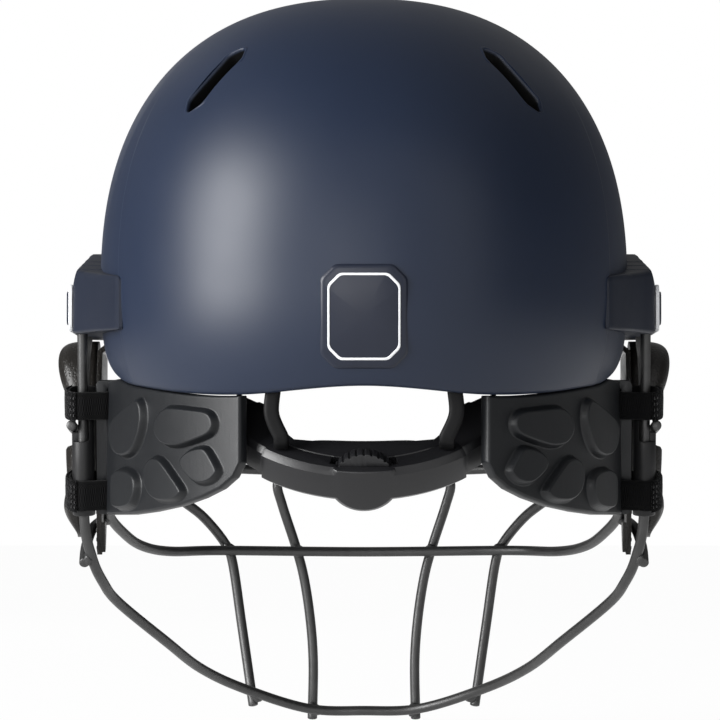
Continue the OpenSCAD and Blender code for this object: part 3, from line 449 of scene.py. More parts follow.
def bearings(count):
    """Bearings all round, drawn closer together near the creases of the rear panel."""
    t = np.linspace(0, 360, count * 8, endpoint=False)
    weight = 1 + sum(3.6 * np.exp(-((t - crease) / 3) ** 2) for crease in (33, 147))
    total = np.cumsum(weight)
    return np.interp(np.arange(count) / count * total[-1], np.r_[0, total], np.r_[t, 360])


def dome_skin(name, az, rows_in, rows_out, off_out, off_in, low_edge, proud=lambda a: 0 * a):
    """Dome with a rolled edge: inner wall down, half a circle round the rim, outer wall up.

    What stands proud is full up to a share FADE_TOP - FADE_RUN of the outer climb and 0 at
    FADE_TOP.
    """
    radius = (off_in - off_out) / 2
    rows = []
    for share in np.linspace(0.985, 0, rows_in):
        low = climb_at(low_edge(az) + radius, off_in)
        rows.append(form(az, low + (90 - low) * share, off_in))
    for turn in np.linspace(0, math.pi, 9)[1:-1]:
        off = off_in - radius * (1 - math.cos(turn))
        z = low_edge(az) + radius * (1 - math.sin(turn))
        rows.append(form(az, climb_at(z, off), off - proud(az)))
    for share in np.linspace(0, 1, rows_out, endpoint=False):
        low = climb_at(low_edge(az) + radius, off_out)
        rows.append(form(az, low + (90 - low) * share, off_out - proud(az) * smooth(
            (FADE_TOP - share) / FADE_RUN)))
    return closed_tube(name, np.array(rows))


shell_skin = dome_skin("shell_skin", bearings(400), 34, 84, 0.0, WALL, rim_z, panel)
print("shell skin:", len(shell_skin.data.polygons), "faces")

# %% [markdown]
# ## Vents
# Four slots on the crown's shoulders. Each is cut with a prism that has the slot's outline and
# stands square to the surface. A thin lip, swept round the outline and rolled over into the
# slot, covers the raw cut and gives the soft moulded edge that catches the light.

# %% Vent outline and its frame on the shell
VENT_LEN, VENT_W, VENT_AZ, VENT_CLIMB = 34.0, 10.0, 55, 39.5


def round_corners(corners, reach, per_corner):
    """Each corner c becomes the curve (1-t)²a + 2t(1-t)c + t²b, with a and b on its sides."""
    before, after = np.roll(corners, 1, 0), np.roll(corners, -1, 0)
    t = np.linspace(0, 1, per_corner)[:, None, None]
    a = corners + reach * unit(before - corners)
    b = corners + reach * unit(after - corners)
    bent = (1 - t) ** 2 * a + 2 * t * (1 - t) * corners + t ** 2 * b
    return bent.transpose(1, 0, 2).reshape(-1, 2)


def vent_outline(grow):
    """Closed outline of a slot with chamfered ends: eight corners, each rounded by a curve."""
    l, w = VENT_LEN / 2 + grow, VENT_W / 2 + grow
    corners = np.array([[-l, -w * .2], [-l + w, -w], [l - w, -w], [l, -w * .2],
                        [l, w * .3], [l - w, w], [-l + w, w], [-l, w * .3]])
    return round_corners(corners, 1.6, 7)


def vent_frame(rear, side):
    """Centre, length direction, width direction and outward normal of a slot."""
    p = form(VENT_AZ if rear else -VENT_AZ, VENT_CLIMB)
    reach = REAR if rear else FRONT
    n = unit(np.array([p[0] / HALF_W ** 2, p[1] / reach ** 2, (p[2] - MID_Z) / RISE ** 2]))
    lean = np.array([-0.64, -0.2 if rear else 0.2, 0.74])
    d = unit(lean - (lean @ n) * n)
    w = np.cross(n, d)
    return tuple(on_side(vector, side) for vector in (p, d, w, n))


def on_shell(points, off=0.0):
    """Drops points along their line to the form's axis until they lie on the form."""
    a = np.arctan2(points[..., 1], points[..., 0])
    flat = np.hypot(points[..., 0], points[..., 1]) / plan_radius(a, off)
    rise = (points[..., 2] - MID_Z) / np.where(points[..., 2] >= MID_Z, RISE - off, SKIRT)
    return form(np.degrees(a), np.degrees(np.arctan2(rise, flat)), off)


print("rear left vent at", np.round(vent_frame(True, 1)[0], 1), "mm")

# %% [markdown]
# Cuts and bevels are modifiers. They are baked into the mesh at once, so that every later step
# works on plain points and faces.

# %% Booleans and bevels
def cut_with(piece, cutters):
    """Cuts cutters out of a closed piece with booleans and throws the cutters away."""
    for cutter in cutters:
        cut = piece.modifiers.new("cut", "BOOLEAN")
        cut.operation, cut.object, cut.solver = "DIFFERENCE", cutter, "MANIFOLD"
    baked(piece)
    for cutter in cutters:
        bpy.data.objects.remove(cutter)


def bevelled(piece, width_mm, segments=2, angle=50):
    """Rounds the edges of a cut piece that are sharper than an angle."""
    bevel = piece.modifiers.new("edges", "BEVEL")
    bevel.width, bevel.segments = width_mm * MM, segments
    bevel.limit_method, bevel.angle_limit = "ANGLE", math.radians(angle)
    return baked(piece)


# %% Cut the vents and mark what lies inside them
def vent_cutters(grow):
    """Four prisms square to the shell, with the slot's outline grown by a margin."""
    made = []
    for rear in (True, False):
        for _, side in SIDES:
            p, d, w, n = vent_frame(rear, side)
            flat = vent_outline(grow)
            rings = [p + flat[:, :1] * d + flat[:, 1:] * w + h * n for h in (-30, 20)]
            made.append(closed_tube("vent_cutter", rings))
    return made


def mark_inside(piece):
    """Point attribute "inside": 1 for the points of the crown that lie under the outer skin.
    The shell's finish takes these points to black as painted shade.

    On the skin (r / plan)^2.4 + (height / rise)^2.4 is 1, and 0.985 is some 0.7 mm under it.
    """
    count = len(piece.data.vertices)
    p = np.zeros(count * 3)
    piece.data.vertices.foreach_get("co", p)
    p = p.reshape(-1, 3) / MM
    plan = plan_radius(np.arctan2(p[:, 1], p[:, 0]))
    level = (np.hypot(p[:, 0], p[:, 1]) / plan) ** SIDE + (np.abs(p[:, 2] - MID_Z) / RISE) ** SIDE
    mark = piece.data.attributes.new("inside", "FLOAT", "POINT")
    mark.data.foreach_set("value", ((level < 0.985) & (p[:, 2] > 50)).astype(np.float32))


cut_with(shell_skin, vent_cutters(0.0))
# mask of the painted shade: points under the outer skin go black in the finish
mark_inside(shell_skin)
finish_piece(shell_skin, "helmet", navy, ["shell"], crease=50)


# %% Vent lips: the shell's surface rolls over into the slot and runs down inside
def vent_lip(name, rear, side):
    """Profile swept round the slot: from 1.5 mm outside, flush, over a round edge, 13 mm in."""
    p, d, w, n = vent_frame(rear, side)
    profile = [(1.5, -0.25), (1.1, 0.12), (0.5, 0.22), (0.05, 0.1), (-0.35, -0.4),
               (-0.5, -1.4), (-0.6, -6.0), (-0.7, -13.0), (0.25, -13.0), (0.3, -3.0)]
    rings = []
    for grow, drop in profile:
        flat = vent_outline(grow)
        at = on_shell(p + flat[:, :1] * d + flat[:, 1:] * w)
        rings.append(at + n * drop)
    return outward(closed_ring(name, np.array(rings).transpose(1, 0, 2)))


for rear in (True, False):
    for name, side in SIDES:
        label = f"vent_lip_{'rear' if rear else 'front'}_{name}"
        lip = finish_piece(vent_lip(label, rear, side), "helmet", navy, crease=60)
        # the lip's part down in the slot gets the painted shade too
        mark_inside(lip)
print("vents cut, lip profile 13 mm deep")

# %% [markdown]
# ## Peak
# The peak is hidden in the picture, but shows in every other view. It is a thin curved blade
# whose root follows the shell above the brow. The grid runs out along the top, rolls round the
# front edge and comes back underneath, so that the edge is round and not a knife.

# %% Peak
PEAK_REACH, PEAK_DROP, PEAK_T, PEAK_SPAN, PEAK_SEAT = 48.0, 13.0, 3.0, 62.0, 0.6
PEAK_ROOT, ABOVE_RIM = 2.5, 5


def peak_point(u, v, under):
    """Root on the shell plus a reach of (1-u²)^0.6 outwards, a drop of v^1.3, less thickness."""
    az = -90 + PEAK_SPAN * u
    root = form(az, climb_at(rim_z(az) + ABOVE_RIM, -PEAK_SEAT), -PEAK_SEAT)
    out = PEAK_ROOT + PEAK_REACH * np.clip(1 - u * u, 0, 1) ** 0.6
    way = unit(root * np.array([0.55, 1, 0]))
    point = root + way * (out * v)[..., None]
    point[..., 2] -= PEAK_DROP * out / (PEAK_REACH + PEAK_ROOT) * v ** 1.3 + under * PEAK_T
    return point


u = np.sin(np.linspace(-1, 1, 121) * math.pi / 2)[:, None]
turn = np.linspace(0, math.pi, 9)[1:-1]
v = np.r_[np.linspace(0, 0.97, 34), 0.97 + 0.03 * np.sin(turn), np.linspace(0.97, 0, 34)]
under = np.r_[np.zeros(34), (1 - np.cos(turn)) / 2, np.ones(34)]
peak_skin = closed_tube("peak_skin", peak_point(u, v[None, :], under[None, :]))
finish_piece(peak_skin, "helmet", navy, ["peak"])
print("peak reaches", -round(min(p[1] for p in peak_skin.bound_box) / MM), "mm forward")

# %% [markdown]
# ## Foam liner
# A thick dome of dark foam beads sits inside the shell and stops short of the rim. Its edge is
# rolled like the shell's, and the same slots go through it.

# %% Liner
LINER_OFF, LINER_T = WALL + 0.6, 15.0


def liner_edge(az):
    """The liner ends 13 mm above the rim, and up to 13 mm higher over the ears."""
    return rim_z(az) + 13 + 13 * bump((from_back(az) - 84) / 40)


liner_skin = dome_skin("liner_skin", np.arange(160) * 2.25, 26, 30, LINER_OFF,
                       LINER_OFF + LINER_T, liner_edge)
cut_with(liner_skin, vent_cutters(1.0))
finish_piece(liner_skin, "helmet", foam, ["foam_liner"], crease=60)
print("liner:", LINER_T, "mm thick,", LINER_OFF, "mm under the shell's outside")

# %% [markdown]
# ## Comfort pads
# Knitted fabric over soft foam. A pad is cut flat and sewn, then the foam swells it, and that
# is how it is made here: a slightly thin closed form is remeshed evenly, blown up for twenty
# frames as cloth under pressure without gravity, and held near its start so that it keeps to
# its place. Sewn channels and the welt come after, because the remesh would erase them.

# %% Finish: webbing, knitted fabric, leather and thread
def woven(name, colour, depth, rough, sheen):
    """Fabric drawn on the UV map: two crossing waves, one thread up and one down.

    Its colour is darker where a thread goes down, painted shade in the weave's hollows, times an
    uneven tone from noise.
    """
    made = Finish(name, colour, rough, Sheen_Weight=sheen, Sheen_Roughness=0.5,
                  Specular_IOR_Level=0.08)
    parts = made.node("ShaderNodeSeparateXYZ",
                      {"Vector": made.node("ShaderNodeTexCoord").outputs["UV"]})
    waves = []
    for axis in "XY":
        turn = made.node("ShaderNodeMath", {0: parts.outputs[axis], 1: math.tau},
                         operation="MULTIPLY").outputs[0]
        waves.append(made.node("ShaderNodeMath", {0: turn}, operation="SINE").outputs[0])
    weave = made.node("ShaderNodeMath", {0: waves[0], 1: waves[1]}, operation="MULTIPLY")
    height = made.ramp(weave.outputs[0], -1, 1)
    loose = made.noise(900, 3)
    both = made.node("ShaderNodeMath", {0: height, 1: loose}, operation="MULTIPLY").outputs[0]
    # painted shade: darker in the weave's hollows, times an uneven tone
    made.shade(both, 0.55, 1.35)
    made.roughen(loose, rough - 0.08, min(1.0, rough + 0.08))
    made.bump(height, 0.6, depth).bump(made.noise(140, 3), 0.25, 0.5)
    return made


pad_fabric = Finish("pad_fabric", srgb(30, 30, 32), 0.88, Sheen_Weight=0.25,
                    Specular_IOR_Level=0.08)
# painted highlight on the knit's raised loops and painted shade between them; the same cells make
# its bump
pad_fabric.shade(pad_fabric.ramp(pad_fabric.cells(1100), 0.05, 0.5), 1.5, 0.5)
pad_fabric.bump(pad_fabric.ramp(pad_fabric.cells(1100), 0.05, 0.5, 1, 0), 0.6, 0.25)
pad_fabric.bump(pad_fabric.noise(140, 3), 0.25, 0.5)
strap_web = woven("strap_webbing", srgb(12, 12, 13), 0.3, 0.8, 0.05)
leather = Finish("ear_leather", srgb(28, 26, 24), 0.32, Specular_IOR_Level=0.32)
leather.shade(leather.noise(30, 3), 0.82, 1.12)
leather.roughen(leather.noise(240, 4), 0.25, 0.4)
leather.bump(leather.ramp(leather.cells(900), 0.05, 0.5), 0.5, 0.22)
leather.bump(leather.noise(80, 4), 0.25, 0.5)
thread = Finish("thread", srgb(30, 30, 31), 0.6, Sheen_Weight=0.4)
thread.bump(thread.noise(3000, 2, stretch=(1, 1, 4)), 0.5, 0.1)


def lay_uv(piece, rows, cols, across, along):
    """UV map of a grid in whole threads: one unit of U or V is one thread of the fabric."""
    layer = piece.data.uv_layers.new(name="weave")
    index = np.zeros(len(piece.data.loops), np.int32)
    piece.data.loops.foreach_get("vertex_index", index)
    r, c = np.divmod(index, cols)
    uv = np.stack([c / (cols - 1) * across, r / (rows - 1) * along], -1)
    layer.data.foreach_set("uv", uv.astype(np.float32).ravel())


def closed_loop(name, ring, radius, sides=8):
    """Round cord along a closed run of points; its last point repeats its first."""
    tangent = unit(np.gradient(np.vstack([ring[-2], ring, ring[1]]), axis=0)[1:-1])
    away = ring - ring[:-1].mean(0)
    side = unit(away - (away * tangent).sum(1)[:, None] * tangent)
    up = np.cross(tangent, side)
    turn = np.linspace(0, math.tau, sides, endpoint=False)[None, :, None]
    rings = (ring[:, None] + radius * (np.cos(turn) * side[:, None]
                                       + np.sin(turn) * up[:, None]))[:-1]
    return outward(closed_ring(name, rings))


# %% Swelling by cloth under pressure
VOXEL, MOVE_CAP, PRESSURE, FRAMES = 2.6 * MM, 1.1 * MM, 4.0, 20


def swollen(made):
    """Remesh evenly, 20 frames as cloth under pressure, then a soft limit on each move:
    a move m becomes cap tanh(m / cap), so no point goes further than the cap."""
    net = made.modifiers.new("even", "REMESH")
    net.mode, net.voxel_size = "VOXEL", VOXEL
    baked(made)
    start = np.zeros(len(made.data.vertices) * 3)
    made.data.vertices.foreach_get("co", start)
    cloth = made.modifiers.new("stuffing", "CLOTH")
    cloth.settings.quality = 4
    cloth.settings.use_pressure, cloth.settings.uniform_pressure_force = True, PRESSURE
    cloth.settings.effector_weights.gravity = 0.0
    cloth.point_cache.frame_start, cloth.point_cache.frame_end = 1, FRAMES
    for step in range(1, FRAMES + 1):
        scene.frame_set(step)
    moved = bpy.data.meshes.new_from_object(
        made.evaluated_get(bpy.context.evaluated_depsgraph_get()))
    end = np.zeros_like(start)
    moved.vertices.foreach_get("co", end)
    made.modifiers.clear()
    scene.frame_set(1)
    shift = (end - start).reshape(-1, 3)
    far = np.linalg.norm(shift, axis=1)[:, None]
    shift *= MOVE_CAP * np.tanh(far / MOVE_CAP) / np.maximum(far, 1e-9)
    return start.reshape(-1, 3) + shift


# %% A pad from a place function
PAD_OFF, PAD_T, PAD_FILL = LINER_OFF + LINER_T + 1.6, 7.0, 0.6
CHANNEL_W, CHANNEL_DEPTH, CROWD = 1.7, 2.2, 1.45


def crowned_pad(name, place, rows, cols, channels, width_mm, node):
    """Closed pad over place(u, v, depth) with u, v in -1..1: crown ((1-|u|³)(1-|v|³)) to 0.5,
    swollen as cloth, then pressed in along its sewn channels, with a welt round its edge.

    The grid's lines crowd to the edges as sin(CROWD t) / sin(CROWD) does.
    """
    u, v = np.meshgrid(np.linspace(-1, 1, cols), np.linspace(-1, 1, rows))
    u, v = (np.sin(CROWD * t) / math.sin(CROWD) for t in (u, v))
    crown = (np.clip(1 - np.abs(u) ** 3, 0, 1) * np.clip(1 - np.abs(v) ** 3, 0, 1)) ** 0.5
    top, back = place(u, v, 0.12 + 0.72 * crown), place(u, v, 0.06 + 0 * crown)
    made = two_skins(name, top, back)
    points = swollen(made)
    sample = top.reshape(-1, 3) * MM
    near = np.linalg.norm(points[:, None] - sample[None], axis=2)
    nearest, reach = near.argmin(1), near.min(1)
    inward = unit((top - back).reshape(-1, 3))
    groove = sum(np.exp(-((u.ravel()[nearest] - c) * width_mm / 2 / CHANNEL_W) ** 2)
                 for c in channels)
    press = (CHANNEL_DEPTH * MM * groove * np.exp(-(reach / (CHANNEL_DEPTH * MM)) ** 2)
             * crown.ravel()[nearest])
    points = points - inward[nearest] * press[:, None]
    if len(points) == len(made.data.vertices):
        made.data.vertices.foreach_set("co", points.ravel())
    fine = made.modifiers.new("fine", "SUBSURF")
    fine.levels = fine.render_levels = 1
    finish_piece(baked(made), "helmet", pad_fabric, [node], crease=0)
    turn = np.linspace(0, math.tau, 161)
    edge_u, edge_v = (0.985 * signed_power(wave, 0.5) for wave in (np.cos(turn), np.sin(turn)))
    rim = place(edge_u, edge_v, 0.25 + 0 * turn)
    welt = closed_loop(name + "_welt", rim, 0.75)
    finish_piece(welt, "helmet", pad_fabric, crease=0)
    print(name, len(made.data.polygons), "faces")


# %% Pads that lie on the liner
def pad_off(depth):
    """Offset from the shell's outside: the pad's back, and 5.6 mm on towards the head."""
    return PAD_OFF + 1.2 * (depth >= 0) + (PAD_T - 1.4) * np.clip(depth, 0, 1)


def liner_place(az0, climb0, half_az, half_climb):
    """Pad place on the liner: bearing and climb run with u and v and draw in at the corners."""
    def place(u, v, depth):
        az = az0 + half_az * u * (0.9 + 0.1 * v * v)
        climb = climb0 + half_climb * v * (0.9 + 0.1 * u * u)
        return form(az, climb, pad_off(depth))
    return place


def crown_place(u, v, depth):
    """The square of u, v is bent into a disc, and the disc is laid under the crown."""
    x, y = u * np.sqrt(1 - v * v / 2), v * np.sqrt(1 - u * u / 2)
    return form(np.degrees(np.arctan2(y, x)), 90 - 23 * np.hypot(x, y), pad_off(depth))


crowned_pad("front_pad_soft", liner_place(-90, 22, 38, 12), 30, 64, (-0.5, 0, 0.5), 120,
            "front_pad")
for name, az in (("left", -8), ("right", 188)):
    crowned_pad(f"side_pad_{name}_soft", liner_place(az, 30, 26, 10), 26, 44, (0,), 84,
                f"side_pad_{name}")
for name, az in (("left", 66), ("right", 114)):
    crowned_pad(f"rear_pad_{name}_soft", liner_place(az, 20, 18, 14), 34, 40, (0,), 64,
                f"rear_pad_{name}")
crowned_pad("crown_pad_soft", crown_place, 44, 44, (-0.35, 0.35), 80, "crown_pad")

# %% [markdown]
# ## Face guard
# The guard is bent from 4.2 mm wire and welded where the wires cross. A wire is a circle
# carried along a smooth curve through a few bend points. The curve is Catmull-Rom, so it
# passes through every point; past each end a few smaller circles give a rounded tip.

# %% Wires
WIRE_R, TIP, POST_X = 2.1, 0.72, 111.3
POST_TOP, POST_LOW = np.array([POST_X, 21, 16]), np.array([POST_X, 7.5, -62.8])


def through(points, steps=12):
    """Catmull-Rom curve: ½(2b + (c-a)t + (2a-5b+4c-d)t² + (3b-a-3c+d)t³) on each span."""
    p = np.asarray(points, float)
    p = np.vstack([p[:1], p, p[-1:]])
    a, b, c, d = (p[k:len(p) - 3 + k][:, None] for k in range(4))
    t = (np.arange(steps) / steps)[None, :, None]
    curve = 0.5 * (2 * b + (c - a) * t + (2 * a - 5 * b + 4 * c - d) * t ** 2
                   + (3 * b - a - 3 * c + d) * t ** 3)
    return np.vstack([curve.reshape(-1, p.shape[1]), p[-1:]])


def along(route):
    """Unit tangents and two unit side vectors that don't twist along the route.

    Any side vector across the tangent will do to begin with. How far each one has turned
    against the one before, carried on to its own ring, is an angle; the running sum of these
    angles is turned back, so that the rings follow each other without a twist.
    """
    tangent = unit(np.gradient(route, axis=0))
    side = unit(np.cross(tangent, np.eye(3)[np.abs(tangent).argmin(1)]))
    up = np.cross(tangent, side)
    before = side[:-1] - (side[:-1] * tangent[1:]).sum(1)[:, None] * tangent[1:]
    slip = np.arctan2((before * up[1:]).sum(1), (before * side[1:]).sum(1))
    turn = np.r_[0, np.cumsum(slip)][:, None]
    side = np.cos(turn) * side + np.sin(turn) * up
    return tangent, side, np.cross(tangent, side)


def rod(name, route, radius=WIRE_R, sides=20):
    """Round rod along a route, its two ends rounded over a length of TIP."""
    tangent, side, up = along(route)
    turn = np.linspace(0, math.tau, sides, endpoint=False)[None, :, None]
    circle = np.cos(turn) * side[:, None] + np.sin(turn) * up[:, None]
    bend = np.array([0.15, 0.5, 0.8, 0.96])
    near = route[0] - tangent[0] * (np.sqrt(1 - bend ** 2) * TIP)[:, None]
    far = route[-1] + tangent[-1] * (np.sqrt(1 - bend[::-1] ** 2) * TIP)[:, None]
    rings = np.concatenate([near[:, None] + radius * bend[:, None, None] * circle[:1],
                            route[:, None] + radius * circle,
                            far[:, None] + radius * bend[::-1, None, None] * circle[-1:]])
    return closed_tube(name, rings)


def both_sides(half):
    """A route from the left side to the middle, carried on to the right side."""
    half = np.asarray(half, float)
    return np.vstack([half, on_side(half[-2::-1], -1)])


chin_half = np.vstack([POST_TOP, POST_TOP * 0.5 + POST_LOW * 0.5, POST_LOW, [
    [108.6, 0, -79], [104.9, -12, -89], [99.6, -30, -97.6], [82, -65, -114.4],
    [68.8, -100, -126.9], [51.4, -130, -136.7], [24.3, -150, -146.1], [0, -153, -147.2]]])
WIRES = {
    "chin_wire": both_sides(chin_half),
    "mid_bar": both_sides([
        [111, -5, 20], [111, -5, 9], [112, -7, 0], [111.6, -8, -14], [104.5, -9.5, -25],
        [103, -13, -32], [103.2, -20, -45], [103.5, -30, -55], [104.5, -45, -61.9],
        [100.5, -65, -68.7],
        [93.9, -90, -74.8], [83, -115, -77.6], [61, -140, -77.5], [0, -152, -78.2]]),
    "eye_bar": both_sides([
        [115.6, 18, -26.5], [115.8, 0, -27.5], [115.2, -30, -29.5], [114.3, -48, -31.5],
        [110.6, -64, -34], [96, -92, -38], [74, -121, -41], [48, -140, -42.5],
        [20, -150, -43], [0, -152, -43]]),
    "centre_loop": both_sides([
        [22.5, -156.5, -150.5], [22.1, -156, -126.5], [23.4, -155.8, -107.7],
        [26.2, -155.4, -89.3], [29.9, -154.4, -75.4], [35.5, -151.6, -58.1],
        [37.6, -149.7, -48.6], [33, -151.4, -43.6], [22, -153.9, -42.8], [0, -156.1, -42.8]]),
}
outer = np.array([[47.8, -139.5, -144], [52.9, -144.6, -109.9], [57, -145.8, -82.7],
                  [60.6, -143.4, -73.8], [69.4, -135, -62.9], [79.1, -123.5, -55],
                  [86.4, -112, -48], [91.9, -103.8, -39.5]])
stub = np.array([[111.6, 1, -81], [111.6, -10, -74.5], [110.2, -28, -67.5],
                 [107.3, -48, -64]])
for kind, half in (("outer_wire", outer), ("side_stub", stub)):
    for name, side in SIDES:
        WIRES[f"{kind}_{name}"] = on_side(half, side)
for name, points in WIRES.items():
    wire = rod(name + "_round", through(points))
    finish_piece(wire, "helmet", wire_paint, [name], crease=0)
    print(wire.name, len(wire.data.polygons), "faces")

# %% [markdown]
# Where two wires cross, a small lump of metal has run between them. Its place is found and not
# given: it is the middle of the shortest gap between the two curves. The lump is an ellipsoid
# with low waves, longer along the wires than across them.

# %% Welds
WELD_LONG, WELD_WIDE, WELD_HIGH = 3.3, 2.6, 2.2


def closest(a, b):
    """Midpoint and directions at the place where two curves come nearest."""
    gap = np.linalg.norm(a[:, None] - b[None], axis=2)
    i, j = np.unravel_index(gap.argmin(), gap.shape)
    return (a[i] + b[j]) / 2, unit(np.gradient(a, axis=0)[i]), unit(np.gradient(b, axis=0)[j])


def weld(name, first, second, half):
    """Lumpy ellipsoid across a crossing, longer along the wires than across them.

    Its radius is 1 + 0.06 sin(5 lon + 2 lat) + 0.05 sin(3 lon - 4 lat).
    """
    a, b = through(WIRES[first], 40), through(WIRES[second], 40)
    a, b = a[a[:, 0] * half >= -1], b[b[:, 0] * half >= -1]
    middle, ta, tb = closest(a, b)
    across = unit(np.cross(ta, tb))
    along_both = unit(ta + tb * np.sign(ta @ tb or 1))
    third = np.cross(across, along_both)
    lat, lon = np.linspace(-1.5, 1.5, 13)[:, None], np.linspace(0, math.tau, 24, False)[None]
    wave = 1 + 0.06 * np.sin(5 * lon + 2 * lat) + 0.05 * np.sin(3 * lon - 4 * lat)
    return closed_tube(name, middle
                       + (np.cos(lat) * np.cos(lon) * wave)[..., None] * along_both * WELD_LONG
                       + (np.cos(lat) * np.sin(lon) * wave)[..., None] * third * WELD_WIDE
                       + (np.sin(lat) * wave)[..., None] * across * WELD_HIGH)


CROSSINGS = [("chin_wire", "centre_loop"), ("mid_bar", "centre_loop"),
             ("chin_wire", "outer_wire"), ("mid_bar", "outer_wire"), ("eye_bar", "outer_wire"),
             ("mid_bar", "side_stub"), ("chin_wire", "side_stub")]
for first, second in CROSSINGS:
    for name, half in SIDES:
        other = second if second in WIRES else f"{second}_{name}"
        finish_piece(weld(f"weld_{first}_{second}_{name}", first, other, half), "helmet",
                     wire_paint, crease=0)
print(2 * len(CROSSINGS), "welds")

# %% [markdown]
# ## The rear posts' frame
# Sleeves, straps and the flange of each stem guard are all set out in one leaning frame: its
# origin is the post's top, and its third axis runs up the post.

# %% Post frame
POST_AXIS = unit(POST_TOP - POST_LOW)
POST_Y = np.array([0, POST_AXIS[2], -POST_AXIS[1]])


def on_post(points, side=1):
    """Points of the post's frame in the helmet's frame; side -1 is the wearer's right."""
    points = np.asarray(points, float)
    at = POST_TOP + points[..., :1] * np.array([1, 0, 0]) + points[..., 1:2] * POST_Y \
        + points[..., 2:] * POST_AXIS
    return on_side(at, side)


def post_prism(name, flat, y_low, y_high, side):
    """Prism across the posts' frame: an outline over its X and Z, from one Y to another."""
    return closed_tube(name, [on_post(np.stack([flat[:, 0], np.full(len(flat), y),
                                                flat[:, 1]], 1), side)
                              for y in (y_low, y_high)])


print("the post leans by", round(math.degrees(math.acos(POST_AXIS[2])), 2), "degrees")

# %% [markdown]
# ## Straps
# Each stem guard hangs on its post by two straps of webbing. The upper one goes loosely round
# the bare post, the lower one round the post's sleeve, and both pass through the guard's flange.
# A strap is a ribbon section that is carried round the outline of two circles, as a belt runs
# round two wheels. The loop leans down to the back, and sewing presses its edges in a little.

# %% Straps round post and flange
LOOP_R, END_R, SPAN, STRAP_T, THREAD = 4.78, 3.18, 7.8, 1.6, 0.9


def strap_path(grow, count=120):
    """Hull of two circles, the post's and a smaller one inboard, walked at an even pace."""
    tilt = math.acos((LOOP_R - END_R) / SPAN)
    big = np.linspace(-math.pi + tilt, math.pi - tilt, 70)
    small = np.linspace(math.pi - tilt, math.pi + tilt, 40)
    loop = np.vstack([np.stack([np.cos(big), np.sin(big)], 1) * (LOOP_R + grow),
                      np.stack([np.cos(small), np.sin(small)], 1) * (END_R + grow)
                      - np.array([SPAN, 0])])
    step = np.r_[0, np.cumsum(np.linalg.norm(np.diff(loop, axis=0, append=loop[:1]), axis=1))]
    at = np.linspace(0, step[-1], count, endpoint=False)
    loop = np.vstack([loop, loop[:1]])
    return np.stack([np.interp(at, step, loop[:, k]) for k in range(2)], 1), step[-1]


def strap(name, top, width, tilt, side, body):
    """Ribbon section, 1.6 by its width with full edges, carried round the strap's path.

    Its two edges are pressed by stitching and wave a little, and the ribbon falls by tilt
    for each millimetre that it goes back along Y.
    """
    path, length = strap_path(STRAP_T / 2)
    normal = unit(np.gradient(path, axis=0)[:, ::-1] * np.array([1, -1]))
    k = np.linspace(0, math.tau, 44, endpoint=False)
    w = signed_power(np.cos(k), 0.28) * width / 2
    t = signed_power(np.sin(k), 0.6) * STRAP_T / 2 * 0.96
    s = np.linspace(0, 1, len(path), endpoint=False)[:, None]
    wobble = 0.12 * np.sin(s * math.tau * 3 + k[None] * 2) + 0.06 * np.sin(s * 60)
    sew = 0.16 * np.exp(-((np.abs(w[None]) - width / 2 + 1.3) / 0.35) ** 2) * (t[None] > 0)
    t = t[None] * (1 + 0 * s) - sew
    x = path[:, None, 0] + normal[:, None, 0] * t
    y = path[:, None, 1] + normal[:, None, 1] * t
    z = -top - width / 2 + w[None] * (1 + 0 * s) + wobble * (np.abs(w[None]) > width * 0.4)
    z -= tilt * y
    made = closed_ring(name, on_post(np.stack([x, y, z], -1), side))
    lay_uv(made, len(path), len(k), 24, length / THREAD)
    outward(made)
    return finish_piece(made, body, strap_web,
                        [name.replace("_web", "")], crease=0)

# %% [markdown]
# A strap ends in a tab of hook pile that is sewn down on the outboard side. The tab is thicker
# than a thread, so it is a piece of its own: a bent plate with a fuzzy face, whose tufts get a
# painted highlight on top and painted shade between them.

# %% The straps' sewn ends
pile = Finish("hook_pile", srgb(10, 10, 11), 0.95, Sheen_Weight=0.12, Specular_IOR_Level=0.05)
# painted highlight on the tufts' tops and painted shade between them; the same cells make the bump
pile.shade(pile.ramp(pile.cells(1500), 0.1, 0.5), 3.5, 0.3)
pile.bump(pile.ramp(pile.cells(1500), 0.05, 0.6, 1, 0), 0.8, 0.3)
PATCH_R = LOOP_R + STRAP_T + 0.42


def strap_patch(name, top, width, tilt, side, body):
    """The strap's sewn end: a tab of hook pile, 0.9 mm thick, round its outboard side."""
    a = np.radians(np.linspace(-48, 68, 48))[:, None]
    k = np.linspace(0, math.tau, 90, endpoint=False)[None]
    w = signed_power(np.cos(k), 0.28) * (width / 2 + 0.25)
    t = signed_power(np.sin(k), 0.6) * 0.45
    fuzz = np.random.default_rng(11).random((48, 90)) * 0.16
    r = PATCH_R + (t + fuzz * (t > 0)) * np.sin(np.linspace(0.25, math.pi - 0.25, 48))[:, None]
    x, y = r * np.cos(a), r * np.sin(a)
    made = closed_tube(name, on_post(np.stack([
        x, y, -top - width / 2 + w + fuzz - 0.08 - tilt * y], -1), side))
    return finish_piece(made, body, pile, crease=0)


STRAPS = (("upper_strap", 28.5, 11.0, 0.12), ("lower_strap", 63.2, 12.0, 0.26))
for name, side in SIDES:
    for kind, top, width, tilt in STRAPS:
        strap(f"{kind}_{name}_web", top, width, tilt, side, f"guard_{name}")
        strap_patch(f"{kind}_{name}_end", top, width, tilt, side, f"guard_{name}")
print("straps:", [kind for kind, *_ in STRAPS], "on both sides")

# %% [markdown]
# ## Hard parts with rounded edges
# A moulded part never has a perfectly sharp edge: the thin line of light along it tells the eye
# that it is real. For the parts whose solid is already right, a merged copy gets its flat areas
# joined up and a narrow bevel on every edge that turns by more than 30 degrees.

